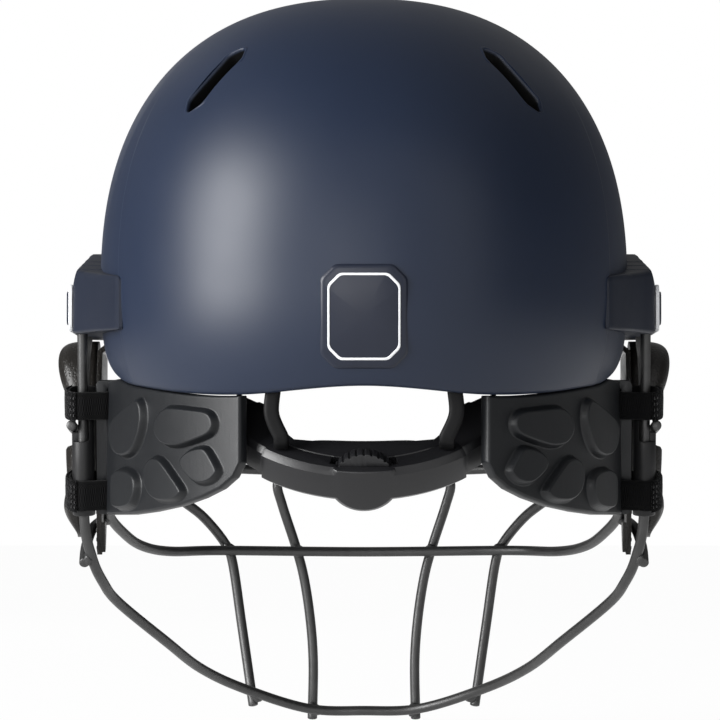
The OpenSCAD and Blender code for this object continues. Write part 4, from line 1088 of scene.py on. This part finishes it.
# %% Softened copies of solids
def softened(node, width, look, segments=2):
    """Merged copy of a solid: coplanar triangles joined, sharp edges rounded by a width in mm."""
    source = frame["nodes"][node]
    made = bpy.data.objects.new(node + "_moulded", source.data.copy())
    scene.collection.objects.link(made)
    net = bmesh.new()
    net.from_mesh(made.data)
    bmesh.ops.remove_doubles(net, verts=net.verts, dist=2e-6)
    bmesh.ops.dissolve_degenerate(net, edges=net.edges, dist=1e-6)
    bmesh.ops.dissolve_limit(net, verts=net.verts, edges=net.edges,
                             angle_limit=math.radians(1))
    net.to_mesh(made.data)
    net.free()
    return finish_piece(bevelled(made, width, segments, angle=30), source["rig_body"], look,
                        [node], crease=28)


# %% [markdown]
# ## Stem guards
# The guard behind each ear is a moulded wall bent on an arc, with five raised blocks. Its outer
# skin is one dense grid over bearing and height. The blocks are not separate solids: a signed
# distance to each block's outline says how far a point is inside it, and a smooth step of that
# distance lifts the wall. Their flanks therefore slope and round off as moulded ones do.

# %% Outline and blocks
GUARD_R, GUARD_WALL, EDGE_ROLL = 142.0, 5.0, 1.2
BLOCK_RISE, BLOCK_FLANK = 3, 1.9
FLANGE_T, FLANGE_END = 2.6, -5.25
GUARD_CENTRE = np.array([-38.6, -7.0])
GUARD_BLOCKS = [
    (23.6, -28.1, [(17, 10.2), (12.9, 12.2), (0, 8.1), (-12.7, 4.7), (-18.8, 1.2),
                   (-18.3, -3.3), (-14.9, -8.1), (-8.7, -11), (0, -12.2), (8.1, -10.9),
                   (13.3, -7.6), (17, -2.7), (18.7, 2.2), (18.7, 6)]),
    (41.6, -28.4, [(-17.1, 4.5), (-19.2, 0.2), (-17.1, -4.2), (-12.1, -7.6), (-3.8, -8.5),
                   (3.9, -7.2), (13.4, -4.9), (17.2, -3), (19, 0.7), (17.2, 4.8),
                   (13.8, 6.7), (6.4, 7.4), (-6.5, 8.6), (-12.1, 8)]),
    (45.4, -43.2, [(-11.4, 0.1), (-8.8, -3.2), (-3, -7), (1.7, -7.9), (7, -6.8),
                   (10.7, -3.9), (11.4, -1.4), (7.8, 3.7), (4.8, 7.2), (0.9, 7.9),
                   (-6.3, 6.5), (-11, 3.6)]),
    (36.6, -48.1, [(-12.9, 6.2), (-14.1, 1.9), (-12.9, -3.1), (-9, -7.2), (-2.7, -9.4),
                   (7.7, -9.2), (12.5, -7), (14.2, -4.3), (7.7, 1.7), (0.3, 8),
                   (-4.7, 9.3), (-9, 8.7)]),
    (23.2, -51.8, [(-8.7, 8.1), (-13.9, 5.8), (-14.9, -2), (-12.6, -7.6), (-4, -8.8),
                   (8.4, -7.9), (13, -4.3), (14.9, 1.2), (13, 5.6), (7, 8.1),
                   (-2.3, 8.8)]),
]


def inside_by(x, y, outline):
    """Signed distance to a closed outline: the least distance to a side, positive inside."""
    a = np.asarray(outline, float)
    b = np.roll(a, -1, 0)
    p = np.stack([x, y], -1)[..., None, :]
    share = np.clip(((p - a) * (b - a)).sum(-1) / ((b - a) ** 2).sum(-1), 0, 1)
    gap = np.linalg.norm(p - a - share[..., None] * (b - a), axis=-1).min(-1)
    over = (a[:, 1] > p[..., 1]) != (b[:, 1] > p[..., 1])
    cross = (b[:, 0] - a[:, 0]) * (p[..., 1] - a[:, 1]) / (b[:, 1] - a[:, 1] + 1e-12) + a[:, 0]
    odd = (over & (p[..., 0] < cross)).sum(-1) % 2
    return np.where(odd == 1, gap, -gap)


def rounded(outline, times=2):
    """Corner cutting: each side gives two new corners, a quarter of its length from its ends."""
    p = np.asarray(outline, float)
    for _ in range(times):
        q = np.roll(p, -1, 0)
        p = np.stack([0.75 * p + 0.25 * q, 0.25 * p + 0.75 * q], 1).reshape(-1, 2)
    return p


def guard_top(x):
    """The guard's upper edge runs 0.3 mm under the shell's rim, at the arc's own bearing."""
    y = GUARD_CENTRE[1] + np.sqrt(np.maximum(GUARD_R ** 2 - (x - GUARD_CENTRE[0]) ** 2, 1))
    return rim_z(90 - np.degrees(np.arctan2(x, y))) - 0.3


def guard_low(x):
    """The lower edge, straight from corner to corner of its outline."""
    xs = [40, 46, 46.6, 49.6, 54.7, 61.7, 70.7, 81.7, 91.3, 104, 110]
    zs = [-26, -38.6, -41.9, -47.9, -52.1, -55.4, -58.4, -60.6, -61.8, -61.9, -62]
    return np.interp(x, xs, zs)


# %% Wall of a stem guard
def guard_wall(name, side):
    """Grid over distance along the arc (rows) and height (columns), joined round the edges.

    The outer skin is at GUARD_R plus block height, BLOCK_RISE smooth(d / BLOCK_FLANK)^0.8 with
    d the distance inside the outline. The edges roll over with a radius of EDGE_ROLL.
    Bearing and height hang together, since the front edge leans, and three rounds settle them.
    """
    rows, cols = 330, 210
    share, s = np.meshgrid(np.linspace(0, 1, rows), np.linspace(0, 1, cols), indexing="ij")
    last = math.acos((46.6 - GUARD_CENTRE[0]) / GUARD_R)
    lean = POST_AXIS[1] / POST_AXIS[2]
    z = np.full((rows, cols), -35.0)
    for _ in range(3):
        front_y = POST_TOP[1] + (z - POST_TOP[2]) * lean - FLANGE_T / 2
        first = np.arcsin((front_y - GUARD_CENTRE[1]) / GUARD_R)
        turn = last + (first - last) * share
        x = GUARD_CENTRE[0] + GUARD_R * np.cos(turn)
        top = guard_top(np.clip(x, 46, 96)) - 0.3 * np.clip((x - 96) / 8, 0, 1)
        z = guard_low(x) * (1 - s) + top * s
    bearing = np.degrees(turn)
    lift = np.zeros_like(z)
    for at, height, outline in GUARD_BLOCKS:
        along_arc = np.radians(bearing - at) * GUARD_R
        depth = inside_by(along_arc, z - height, rounded(outline)) + 0.1
        lift = np.maximum(lift, BLOCK_RISE * smooth(depth / BLOCK_FLANK) ** 0.8)
    edge = np.minimum(np.minimum(s, 1 - s) * (top - guard_low(x)),
                      np.minimum(share, 1 - share) * (last - first) * GUARD_R)
    roll = EDGE_ROLL * (1 - np.sqrt(np.clip(1 - (1 - np.clip(edge / EDGE_ROLL, 0, 1)) ** 2,
                                            0, 1)))
    outer, inner = (np.stack([side * (GUARD_CENTRE[0] + r * np.cos(turn)),
                              GUARD_CENTRE[1] + r * np.sin(turn), z], -1)
                    for r in (GUARD_R + lift - roll, GUARD_R - GUARD_WALL + roll * 0.8))
    made = two_skins(name, outer, inner)
    cut_with(made, [rod("hole", on_side([[102.5, 60, -11.3], [102.5, -5, -11.3]], side),
                        radius=1.0)])
    return made


for name, side in SIDES:
    made = guard_wall(f"stem_guard_{name}_wall", side)
    finish_piece(made, f"guard_{name}", guard_plastic,
                 [f"stem_guard_{name}"], crease=60)
    print(made.name, len(made.data.polygons), "faces")

# %% [markdown]
# Inboard of the post the guard ends in a flange: a tab with two slots that the straps pass
# through. Plate and slots are rectangles with round corners; the slots are cut out before the
# edges get their bevel, so that the slots' edges are broken too.

# %% Flange of a stem guard
def plate_with_slots(name, side):
    """Rounded plate in the posts' frame, cut by two rounded slots; a bevel softens it."""
    def rounded_box(x0, x1, z0, z1, r):
        parts = []
        for cx, cz, quarter in ((x1 - r, z1 - r, 0), (x0 + r, z1 - r, 1),
                                (x0 + r, z0 + r, 2), (x1 - r, z0 + r, 3)):
            a = np.linspace(0, math.pi / 2, 6) + quarter * math.pi / 2
            parts.append(np.stack([cx + r * np.cos(a), cz + r * np.sin(a)], 1))
        return np.vstack(parts)

    plate = post_prism(name, rounded_box(-14.5, FLANGE_END, -78.5, -25, 2.0),
                       -FLANGE_T / 2, FLANGE_T / 2, side)
    cut_with(plate, [post_prism("slot", rounded_box(-12.9, -9.4, -top - width - 0.5,
                                                    -top + 0.5, 0.8), -6, 6, side)
                     for _, top, width, _ in STRAPS])
    return bevelled(plate, 0.35)


for name, side in SIDES:
    finish_piece(plate_with_slots(f"stem_flange_{name}", side), f"guard_{name}",
                 guard_plastic, crease=40)

# %% [markdown]
# ## Ear guards
# Each is a stuffed leather pad that straddles the guard's bars: a big upper lobe, a smaller
# lower one and a groove between them for the eye bar. One grid gives the outside and one the
# inside. The pad thins out to the edge where the two skins are sewn together.

# %% Form of an ear guard
EAR_X, EAR_Y, EAR_LEN, EAR_TOP, EAR_LOW = 108.0, -35.0, 46.0, 8.8, -71.0


def ear_place(u, v, out):
    """Point of the pad: u along the head, v upwards, out from 0 (inner skin) to 1 (outer).

    Thickness is a thin edge, a web and two lobes; the upper lobe is a bump (1 - t²)² of height
    raised to 0.3, which makes it broad and full.
    """
    mid, half = (EAR_TOP + EAR_LOW) / 2, (EAR_TOP - EAR_LOW) / 2
    z = mid + half * v * np.sqrt(1 - u * u * 0.45)
    narrow = 1 - 0.22 * smooth((-20 - z) / 50)
    y = (EAR_Y + EAR_LEN / 2 * narrow * u * np.sqrt(1 - v * v * 0.45)
         + 4 * smooth((-20 - z) / 50))
    inner = EAR_X + 6.4 * smooth((-50 - z) / 7)
    rim = np.clip((1 - np.abs(u) ** 4) * (1 - np.abs(v) ** 14), 0, 1) ** 0.27
    low_lobe = (smooth((0.09 * (y - EAR_Y) - 33.6 - z) / 2.6)
                * (1 - 0.75 * smooth((-58 - z) / 14)))
    lobe = np.maximum(bump((z - 5) / 30) ** 0.3, 0.73 * low_lobe ** 0.55)
    thick = 1.6 + (2.6 - 1.6) * rim + (16.4 - 2.6) * rim * lobe
    flare = 5.6 * smooth((-50 - z) / 7)
    soft = 0.35 * np.sin(u * 5 + z * 0.21) * rim * lobe
    return np.stack([inner + out * np.maximum(1.8, thick - flare * rim + soft), y, z], -1)


def ear_grid(out, rows=120, cols=72):
    """Grid over the pad, closer near its edges, where the surface turns fastest."""
    v, u = np.meshgrid(np.linspace(-1, 1, rows), np.linspace(-1, 1, cols), indexing="ij")
    u, v = np.sin(u * math.pi / 2), np.sin(v * math.pi / 2)
    return ear_place(u, v, out)


print("a pad is at most", round((ear_grid(1.0) - ear_grid(0.0))[..., 0].max(), 1), "mm thick")

# %% [markdown]
# ## Stitches
# A stitch is a short capsule of thread that dips into the leather or webbing at both ends. All
# the stitches of a row are made at once: six rings along each, six points round each ring.

# %% Rows of stitches
def stitches(name, path, outward_way, length=2.6, gap=1.1, radius=0.32, sink=0.1):
    """A row of short thread capsules laid along a path, each dipping in at both ends."""
    step = np.r_[0, np.cumsum(np.linalg.norm(np.diff(path, axis=0), axis=1))]
    count = int(step[-1] / (length + gap))
    starts = (np.arange(count) + 0.5) * step[-1] / count
    t = np.array([-0.5, -0.42, -0.2, 0.2, 0.42, 0.5])
    size = np.array([0.25, 0.8, 1, 1, 0.8, 0.25])
    lift = radius * np.array([-1.2, -0.5, 0.4, 0.4, -0.5, -1.2]) - sink
    at = starts[:, None] + t[None] * length
    centre = np.stack([np.interp(at, step, path[:, k]) for k in range(3)], -1)
    way = unit(np.stack([np.interp(at, step, outward_way[:, k]) for k in range(3)], -1))
    centre = centre + way * lift[None, :, None]
    side = unit(np.cross(np.gradient(centre, axis=1), way))
    a = np.linspace(0, math.tau, 6, endpoint=False)
    ring = (np.cos(a)[:, None] * side[:, :, None] + np.sin(a)[:, None] * way[:, :, None])
    points = centre[:, :, None] + ring * (radius * size)[None, :, None, None]
    one = [*quads(6, 6, True), np.arange(6)[::-1], np.arange(6) + 30]
    return make_mesh(name, points, [f + k * 36 for k in range(count) for f in one])


# %% Stitches of the straps' ends
for name, side in SIDES:
    for kind, top, width, tilt in STRAPS:
        for turn in (50, 62):
            a = math.radians(turn)
            z = np.linspace(-top - 0.9, -top - width + 0.9, 12)
            r = PATCH_R + 0.5
            path = np.stack([np.full(12, r * math.cos(a)), np.full(12, r * math.sin(a)),
                             z - tilt * r * math.sin(a)], 1)
            out = on_post(path * [1.1, 1.1, 1], side) - on_post(path, side)
            sewn = stitches(f"{kind}_{name}_sewn_{turn}", on_post(path, side), out,
                            1.1, 0.8, 0.2)
            finish_piece(sewn, f"guard_{name}", thread, crease=0)

# %% [markdown]
# ## Leather pieces
# An ear guard is two leather skins on its grid. The flaps behind them are flat, so their
# solids are kept and softened; a row of stitches follows each outline where it shows.

# %% Ear guards: leather skins
for name, side in SIDES:
    pad = two_skins(f"ear_guard_{name}_leather", on_side(ear_grid(1.0), side),
                    on_side(ear_grid(0.0), side))
    finish_piece(pad, "helmet", leather, [f"ear_guard_{name}"], crease=0)

# %% Ear flaps: stitched leather plates behind the ear guards
FLAP_X, FLAP_T, SEW_IN = 105.8, 2.0, 1.7
EAR_FLAP = np.array([[-54, 2], [-56, -30], [-50, -46], [-40, -50], [-34, -54], [-29, -66],
                     [-24, -77], [-20, -78], [-16, -70], [-14, -50], [-14.5, -8], [-19, 4],
                     [-33, 5]], float)
edge = through(np.vstack([EAR_FLAP, EAR_FLAP[:1]]), 14)
normal = unit(np.gradient(edge, axis=0)[:, ::-1] * np.array([1, -1]))
normal *= np.sign(((edge - EAR_FLAP.mean(0)) * normal).sum(1))[:, None]
line = edge - normal * SEW_IN
for name, side in SIDES:
    softened(f"ear_flap_{name}", 0.5, leather, segments=3)
    path = on_side(np.stack([np.full(len(line), FLAP_X + FLAP_T), *line.T], 1), side)
    way = np.zeros_like(path)
    way[:, 0] = side
    keep = (line[:, 0] < -36) | (line[:, 1] < -52)
    sewn = stitches(f"flap_stitch_{name}", path[keep], way[keep])
    finish_piece(sewn, "helmet", thread, crease=0)

# %% [markdown]
# ## Hangers and nape pad
# Two flat straps of plastic hang the fit band from the shell. Each is a rounded strip that is
# carried along the same route as the solid's bar.

# %% Hangers
BAND_SEAT, BAND_TILT = np.array([0, 68.5, -10.7]), math.radians(36)


def on_band(points):
    """Points of the fit band's leaning frame in the helmet's frame: turned back by 36 degrees."""
    p = np.asarray(points, float)
    c, s = math.cos(BAND_TILT), math.sin(BAND_TILT)
    return BAND_SEAT + np.stack([p[..., 0], p[..., 1] * c + p[..., 2] * s,
                                 -p[..., 1] * s + p[..., 2] * c], -1)


def flat_rod(name, route, wide, thick, side_way, sides=28):
    """Strip with rounded corners along a route: |x/w|^4 + |y/t|^4 = 1 is its section."""
    tangent = unit(np.gradient(route, axis=0))
    across = unit(side_way - (tangent @ side_way)[:, None] * tangent)
    up = np.cross(tangent, across)
    a = np.linspace(0, math.tau, sides, endpoint=False)[None, :, None]
    r = power_sum(np.cos(a), np.sin(a), 4)
    section = wide * r * np.cos(a) * across[:, None] + thick * r * np.sin(a) * up[:, None]
    return closed_tube(name, route[:, None] + section)


for name, side in SIDES:
    foot = [on_band([31, 44.4, 1.1 + rise]) for rise in (0, 4)]
    route = np.vstack([foot[0], through([foot[1], [34.6, 107.4, -24], [34, 107, -14],
                                         [34, 107, -6], [34, 107, 7]], 10)])
    strut = flat_rod(f"hanger_{name}_strip", on_side(route, side), 2.9, 2.3,
                     np.array([1.0, 0, 0]))
    finish_piece(strut, "helmet", hanger_black, [f"hanger_{name}"], crease=0)


# %% Nape pad
NAPE_W, CASING_H, CASING_Y = 48, 14.5, 39.3


def nape_place(u, v, depth):
    """Pad on the head side of the casing; it swells 4 mm towards the head."""
    x = NAPE_W / 2 * u * (0.94 + 0.06 * v * v)
    y = CASING_Y - 1.3 * u * u - 1.0 * (depth >= 0) - 4 * np.clip(depth, 0, 1)
    z = -CASING_H / 2 - 0.8 + (CASING_H / 2 - 1) * v * (0.9 + 0.1 * u * u)
    return on_band(np.stack([x, y, z], -1))


crowned_pad("nape_pad_soft", nape_place, 24, 60, (-0.4, 0, 0.4), NAPE_W, "nape_pad")

# %% [markdown]
# ## Pods
# A pod is a moulded box on the shell's side with a sloping, louvred top and soft corners. It is
# a stack of closed rings: each ring is the pod's plan outline drawn in by a distance, and the
# ring's height is the bottom or the top face there, less a quarter circle near the edge.

# %% Pod outline, top face and rings
POD_SIDE, POD_LOW = 115.1, 9.5
POD_RIDGE = [-60, -18, 33, 66], [39.5, 43.5, 33.5, 29.9]
LOUVRES = (4, 15, 26)


def shell_plan(y):
    """Half width of the shell's plan at y, with the rear panel's 0.8 mm."""
    reach = np.where(y >= 0, REAR, FRONT)
    x = HALF_W * np.clip(1 - (np.abs(y) / reach) ** PLAN, 0, 1) ** (1 / PLAN)
    return x + panel(np.degrees(np.arctan2(y, x)))


def pod_outline():
    """Outer line with its corners cut round, then back along the shell's own plan."""
    outer = np.array([[shell_plan(66.0) + 0.9, 66], [shell_plan(64.0) + 2.2, 63], [108, 38],
                      [112.9, 29.5], [POD_SIDE, 25], [POD_SIDE, 10], [POD_SIDE, -20],
                      [POD_SIDE, -34], [112.1, -40], [shell_plan(-46.0) + 0.6, -46]])
    for _ in range(3):
        a, b = outer[:-1], outer[1:]
        cut = np.stack([0.75 * a + 0.25 * b, 0.25 * a + 0.75 * b], 1).reshape(-1, 2)
        outer = np.vstack([outer[:1], cut, outer[-1:]])
    step = np.r_[0, np.cumsum(np.linalg.norm(np.diff(outer, axis=0), axis=1))]
    at = np.linspace(0, step[-1], 150)
    outer = np.stack([np.interp(at, step, outer[:, k]) for k in range(2)], 1)
    y = np.linspace(-46, 66, 60)
    return np.vstack([outer, np.stack([shell_plan(y) - 0.5, y], 1)])


def pod_top(x, y):
    """Top face: a fall to the back and the front, and a steep flank outboard.

    The two meet in a soft crease: z = -0.7 ln(e^(-ridge / 0.7) + e^(-flank / 0.7)).
    """
    ridge = np.interp(y, *POD_RIDGE)
    flank = 29.5 + (POD_SIDE - x) * (14 / 4.7)
    return -np.log(np.exp(-ridge / 0.7) + np.exp(-flank / 0.7)) * 0.7


def pod(name, side):
    """Rings drawn in towards the pod's middle line: z = face ∓ (r - √(r² - (r - d)²))."""
    rim = pod_outline()
    spine = np.stack([np.full(len(rim), 98.0), np.clip(rim[:, 1], -36, 42)], 1)
    spine[:, 0] = np.minimum(98 + 6 * (1 - np.abs(spine[:, 1] / 60)), shell_plan(spine[:, 1]) + 4)
    inward = spine - rim
    length = np.linalg.norm(inward, axis=1)[:, None]
    inward /= length
    rings = []
    for face, radius in ((0, 1.4), (1, 2.2)):
        depths = np.r_[radius * (1 - np.cos(np.linspace(0, math.pi / 2, 7))),
                       radius + np.linspace(0, 1, 14)[1:] ** 1.5 * 14]
        faces = []
        for d in depths:
            q = rim + inward * np.minimum(d, length * 0.97)
            fall = radius - np.sqrt(radius ** 2 - (radius - min(d, radius)) ** 2)
            z = pod_top(q[:, 0], q[:, 1]) - fall if face else np.full(len(q), POD_LOW + fall)
            faces.append(np.column_stack([q, z]))
        rings += faces if face else faces[::-1]
    made = closed_tube(name, on_side(rings, side))
    cutters = [rod("post_hole", on_post([[0, 0, -20], [0, 0, 4]], side), WIRE_R + 0.15, 32),
               rod("bar_hole", on_side([[111, -5, 5], [111, -5, 25]], side),
                   WIRE_R + 0.5, 32)]
    for y in LOUVRES:
        low = np.interp(y, *POD_RIDGE) - 1.3
        a = np.linspace(0, math.tau, 24, endpoint=False)
        wide = power_sum(np.cos(a), np.sin(a), 6)
        ring = np.stack([y + 0.9 + 0.95 * wide * np.cos(a), low + 4 + 4 * wide * np.sin(a)], 1)
        cutters.append(closed_tube("louvre", on_side([
            np.column_stack([np.full(24, x), ring]) for x in (102, 122)], side)))
    cut_with(made, cutters)
    return finish_piece(made, "helmet", pod_paint, [f"pod_{name.split('_')[1]}"],
                        crease=35)


for name, side in SIDES:
    print(pod(f"pod_{name}_moulded", side).name)

# %% [markdown]
# ## Post sleeves
# A plastic tube on each post keeps the straps from sliding. It is open outboard, and in a view
# from behind a window shows the bare wire above the lower strap. The tube is a stack of rings;
# the bore and the two windows are cut out of it.

# %% Post sleeves
SLEEVE_R, SLEEVE_BORE, SLEEVE_TOP = 4.53, 2.18, -40.0


def sleeve(name, side):
    """Tube in the posts' frame, less its bore, the eye bar's slot and the window."""
    a = np.linspace(0, math.tau, 72, endpoint=False)[None]
    z = np.array([0, 0.15, 0.5, 3, 9, 20, 30, 38.5, 38.85, 39])[:, None]
    r = SLEEVE_R - np.array([0.5, 0.2, 0, 0, 0, 0, 0, 0, 0.2, 0.5])[:, None]
    made = closed_tube(name, on_post(np.stack(np.broadcast_arrays(
        r * np.cos(a), r * np.sin(a), SLEEVE_TOP - z), -1), side))

    def window(x_low, z_low, y_low, radius):
        arc = np.linspace(math.pi, 1.5 * math.pi, 7)
        flat = np.vstack([[12, -30], [x_low, -30], np.stack([
            x_low + radius + radius * np.cos(arc), z_low + radius + radius * np.sin(arc)], 1),
            [12, z_low]])
        return post_prism("window", flat, y_low, 9, side)

    cut_with(made, [rod("bore", on_post([[0, 0, -85], [0, 0, -35]], side), SLEEVE_BORE, 36),
                    window(2.0, -45.9, -9, 0.4), window(-2.6, -49.2, 0.2, 1.6)])
    return bevelled(made, 0.2)


for name, side in SIDES:
    finish_piece(sleeve(f"sleeve_tube_{name}", side), "helmet", sleeve_plastic,
                 [f"post_sleeve_{name}"], crease=40)

# %% [markdown]
# The small moulded and turned parts keep their solids. Only the width of the rounding differs:
# 0.08 mm on a screw's slot, half a millimetre on the casing of the fit dial.

# %% Moulded parts of the pods and the fit band
for name, side in SIDES:
    softened(f"pod_trim_{name}", 0.35, trim_white)
    softened(f"side_plate_{name}", 0.25, plate_navy)
    softened(f"fit_arm_{name}", 0.2, band_plastic)
softened("pod_screws", 0.15, screw_steel)
softened("cover_screws", 0.08, screw_steel)
softened("dial_casing", 0.45, band_plastic)
softened("casing_cover", 0.3, band_plastic)
softened("dial", 0.12, band_plastic)

# %% [markdown]
# ## Rear badge
# A small moulded plate sits on the back of the shell. Here it is a plain one: a dark plate with
# cut corners and a thin pale line let in round it. It is bent to the shell's surface, a grid
# over its outline laid on the form and lifted by 1.2 mm.

# %% Badge
BADGE_Z, BADGE_W, BADGE_H = 11.8, 15.5, 18.5


def plate_outline(half_w, half_h, cut):
    """Rectangle with cut corners; each of its eight corners is rounded."""
    w, h = half_w, half_h
    return round_corners(np.array([
        [w, -h + cut], [w, h - cut], [w - cut, h], [-w + cut, h], [-w, h - cut], [-w, -h + cut],
        [-w + cut, -h], [w - cut, -h]]), 1.6, 6)


def rear_surface(x, z, lift):
    """Point on the rear panel straight behind (x, z), lifted along the normal.

    With g = (1 - |level|^2.4)^(1/2.4), y = REAR g (1 - |x / (HALF_W g)|^2.15)^(1/2.15) + 0.8.
    """
    level = np.abs(z - MID_Z) / np.where(z >= MID_Z, RISE, SKIRT)
    grow = (1 - level ** SIDE) ** (1 / SIDE)
    y = REAR * grow * np.clip(1 - (np.abs(x) / (HALF_W * grow)) ** PLAN, 0, 1) ** (1 / PLAN) \
        + 0.8
    normal = np.stack([x / HALF_W ** 2, y / REAR ** 2, (z - MID_Z) / RISE ** 2], -1)
    return np.stack([x, y, z], -1) + unit(normal) * lift


def badge_rings(steps):
    """Rings on the shell from pairs of an outline and its lift in millimetres."""
    return np.array([rear_surface(flat[:, 0], flat[:, 1] + BADGE_Z, h) for flat, h in steps])


base = plate_outline(BADGE_W, BADGE_H, 5)
foot = plate_outline(BADGE_W + 0.7, BADGE_H + 0.7, 5.3)
steps = [(foot, -0.6), (foot, 0.5), (base * 1.01, 0.95), (base * 0.985, 1.15),
         *((base * (0.94 - 0.1 * k), 1.2) for k in range(10))]
plate = closed_tube("badge_plate", badge_rings(steps))
finish_piece(plate, "helmet", plate_navy, crease=40)
line = [(0.86, 0.9), (0.858, 1.38), (0.85, 1.45), (0.82, 1.45), (0.812, 1.38), (0.81, 0.9)]
border = outward(closed_ring("badge_line", badge_rings(
    [(base * share, h) for share, h in line]).transpose(1, 0, 2)))
finish_piece(border, "helmet", trim_white, crease=50)
print("badge:", 2 * BADGE_W, "by", 2 * BADGE_H, "mm")

# %% [markdown]
# ## Floor, backdrop and light
# The floor and the backdrop are pale. To the camera, to glossy rays and to rays through glass
# both show as plain white, so the picture's background is white however the lamps are set. The
# floor still mixes in a little of its own lit surface, so that a faint shadow stays.

# %% Floor and world
FLOOR_Z, FLOOR_WHITE = -0.1525, 0.965


def white_for_camera(tree, lit, out, share):
    """Mixes plain white of strength 1 over a lit colour, for camera, glossy and clear rays."""
    path = add_node(tree, "ShaderNodeLightPath")
    seen = path.outputs["Is Camera Ray"]
    for ray in ("Is Glossy Ray", "Is Transmission Ray"):
        seen = add_node(tree, "ShaderNodeMath", {0: seen, 1: path.outputs[ray]},
                        operation="MAXIMUM").outputs[0]
    part = add_node(tree, "ShaderNodeMath", {0: seen, 1: share}, operation="MULTIPLY")
    white = add_node(tree, "ShaderNodeBackground" if share == 1 else "ShaderNodeEmission",
                     {"Color": (1, 1, 1, 1), "Strength": 1.0})
    mix = add_node(tree, "ShaderNodeMixShader",
                   {0: part.outputs[0], 1: lit, 2: white.outputs[0]})
    tree.links.new(mix.outputs[0], out)


floor_look = Finish("floor", (0.9, 0.9, 0.9), 0.9)
white_for_camera(floor_look.tree, floor_look.shader.outputs[0],
                 floor_look.tree.nodes["Material Output"].inputs["Surface"], FLOOR_WHITE)
k = np.linspace(-9, 9, 13) / MM
floor = make_mesh("floor", np.stack([*np.meshgrid(k, k), np.full((13, 13), FLOOR_Z / MM)], -1),
                  quads(13, 13))
floor.data.materials.append(floor_look.material)

world = bpy.data.worlds.new("studio")
scene.world = world
world.use_nodes = True
ambient = world.node_tree.nodes["Background"]
ambient.inputs["Color"].default_value = (0.96, 0.98, 1.0, 1)
ambient.inputs["Strength"].default_value = 0.28
white_for_camera(world.node_tree, ambient.outputs[0],
                 world.node_tree.nodes["World Output"].inputs["Surface"], 1)


# %% [markdown]
# A tall soft lamp far to the left gives the long highlight down the shell's left rear. The other
# three are weak: one above the camera lifts the badge and the rim, one at the right keeps that
# side from going black, and one in front shows the peak in the other views.

# %% Lamps
def lamp(name, at, toward, wide, tall, watts):
    """Soft rectangular lamp at a place, turned towards a point, its tall side upright."""
    data = bpy.data.lights.new(name, "AREA")
    data.shape, data.size, data.size_y = "RECTANGLE", wide, tall
    data.energy = watts
    made = bpy.data.objects.new(name, data)
    away = unit(np.array(at, float) - toward)
    side = unit(np.cross((0, 0, 1), away))
    turn = np.eye(4)
    turn[:3] = np.stack([side, np.cross(away, side), away, at], 1)
    made.matrix_world = Matrix(turn.tolist())
    scene.collection.objects.link(made)
    print(name, watts, "W")


lamp("tall_left", (1.5, 0.8, 0.44), (0, 0, 0.02), 0.95, 1.2, 55)
lamp("over_camera", (0.3, 2.2, 0.2), (0, 0, -0.04), 0.8, 0.8, 8)
lamp("broad_right", (-1.3, 1.6, 0.5), (0, 0, 0), 1.2, 1.2, 3.2)
lamp("front_left", (0.9, -1.5, 0.6), (0, 0, 0), 0.8, 0.8, 5)

# %% [markdown]
# A dark, satin thing in a white room gets pale edges, because there every surface is seen at a
# glancing angle and mirrors what is beside it. A photographer stands dark cards round it and
# hangs one over the top. These four cards are seen by glossy rays only, each as one even grey,
# so they light nothing, give no shadow and stay out of the view.

# %% Cards
def card(name, points, grey):
    """A card from a grid of points in metres, which glossy rays see as an even grey."""
    look = Finish(f"card_{name}", (0, 0, 0), 0.5, Specular_IOR_Level=0,
                  Emission_Color=(1, 1, 1, 1), Emission_Strength=grey)
    made = make_mesh(f"card_{name}", points / MM, quads(*points.shape[:2]))
    made.data.materials.append(look.material)
    made.visible_camera = made.visible_diffuse = made.visible_shadow = False
    made.visible_transmission = False


def upright(first, last, radius):
    """An upright curved card between two bearings, counted from the camera's side to the left."""
    turn = np.radians(np.linspace(first, last, 12))
    foot = np.stack([np.sin(turn), np.cos(turn)], 1) * radius
    return np.stack([np.column_stack([foot, np.full(12, z)]) for z in (FLOOR_Z + 0.002, 1.5)])


card("left", upright(84, 168, 1.3), 0.03)
card("right", upright(-168, -50, 1.3), 0.12)
card("camera", upright(-48, 24, 2.7), 0.35)
climb = np.radians(np.linspace(0, 138, 16))[:, None]
across = np.linspace(-1.25, 1.25, 5)[None]
card("over", np.stack(np.broadcast_arrays(
    across, -1.25 * np.cos(climb), 0.05 + 1.25 * np.sin(climb)), -1), 0.26)
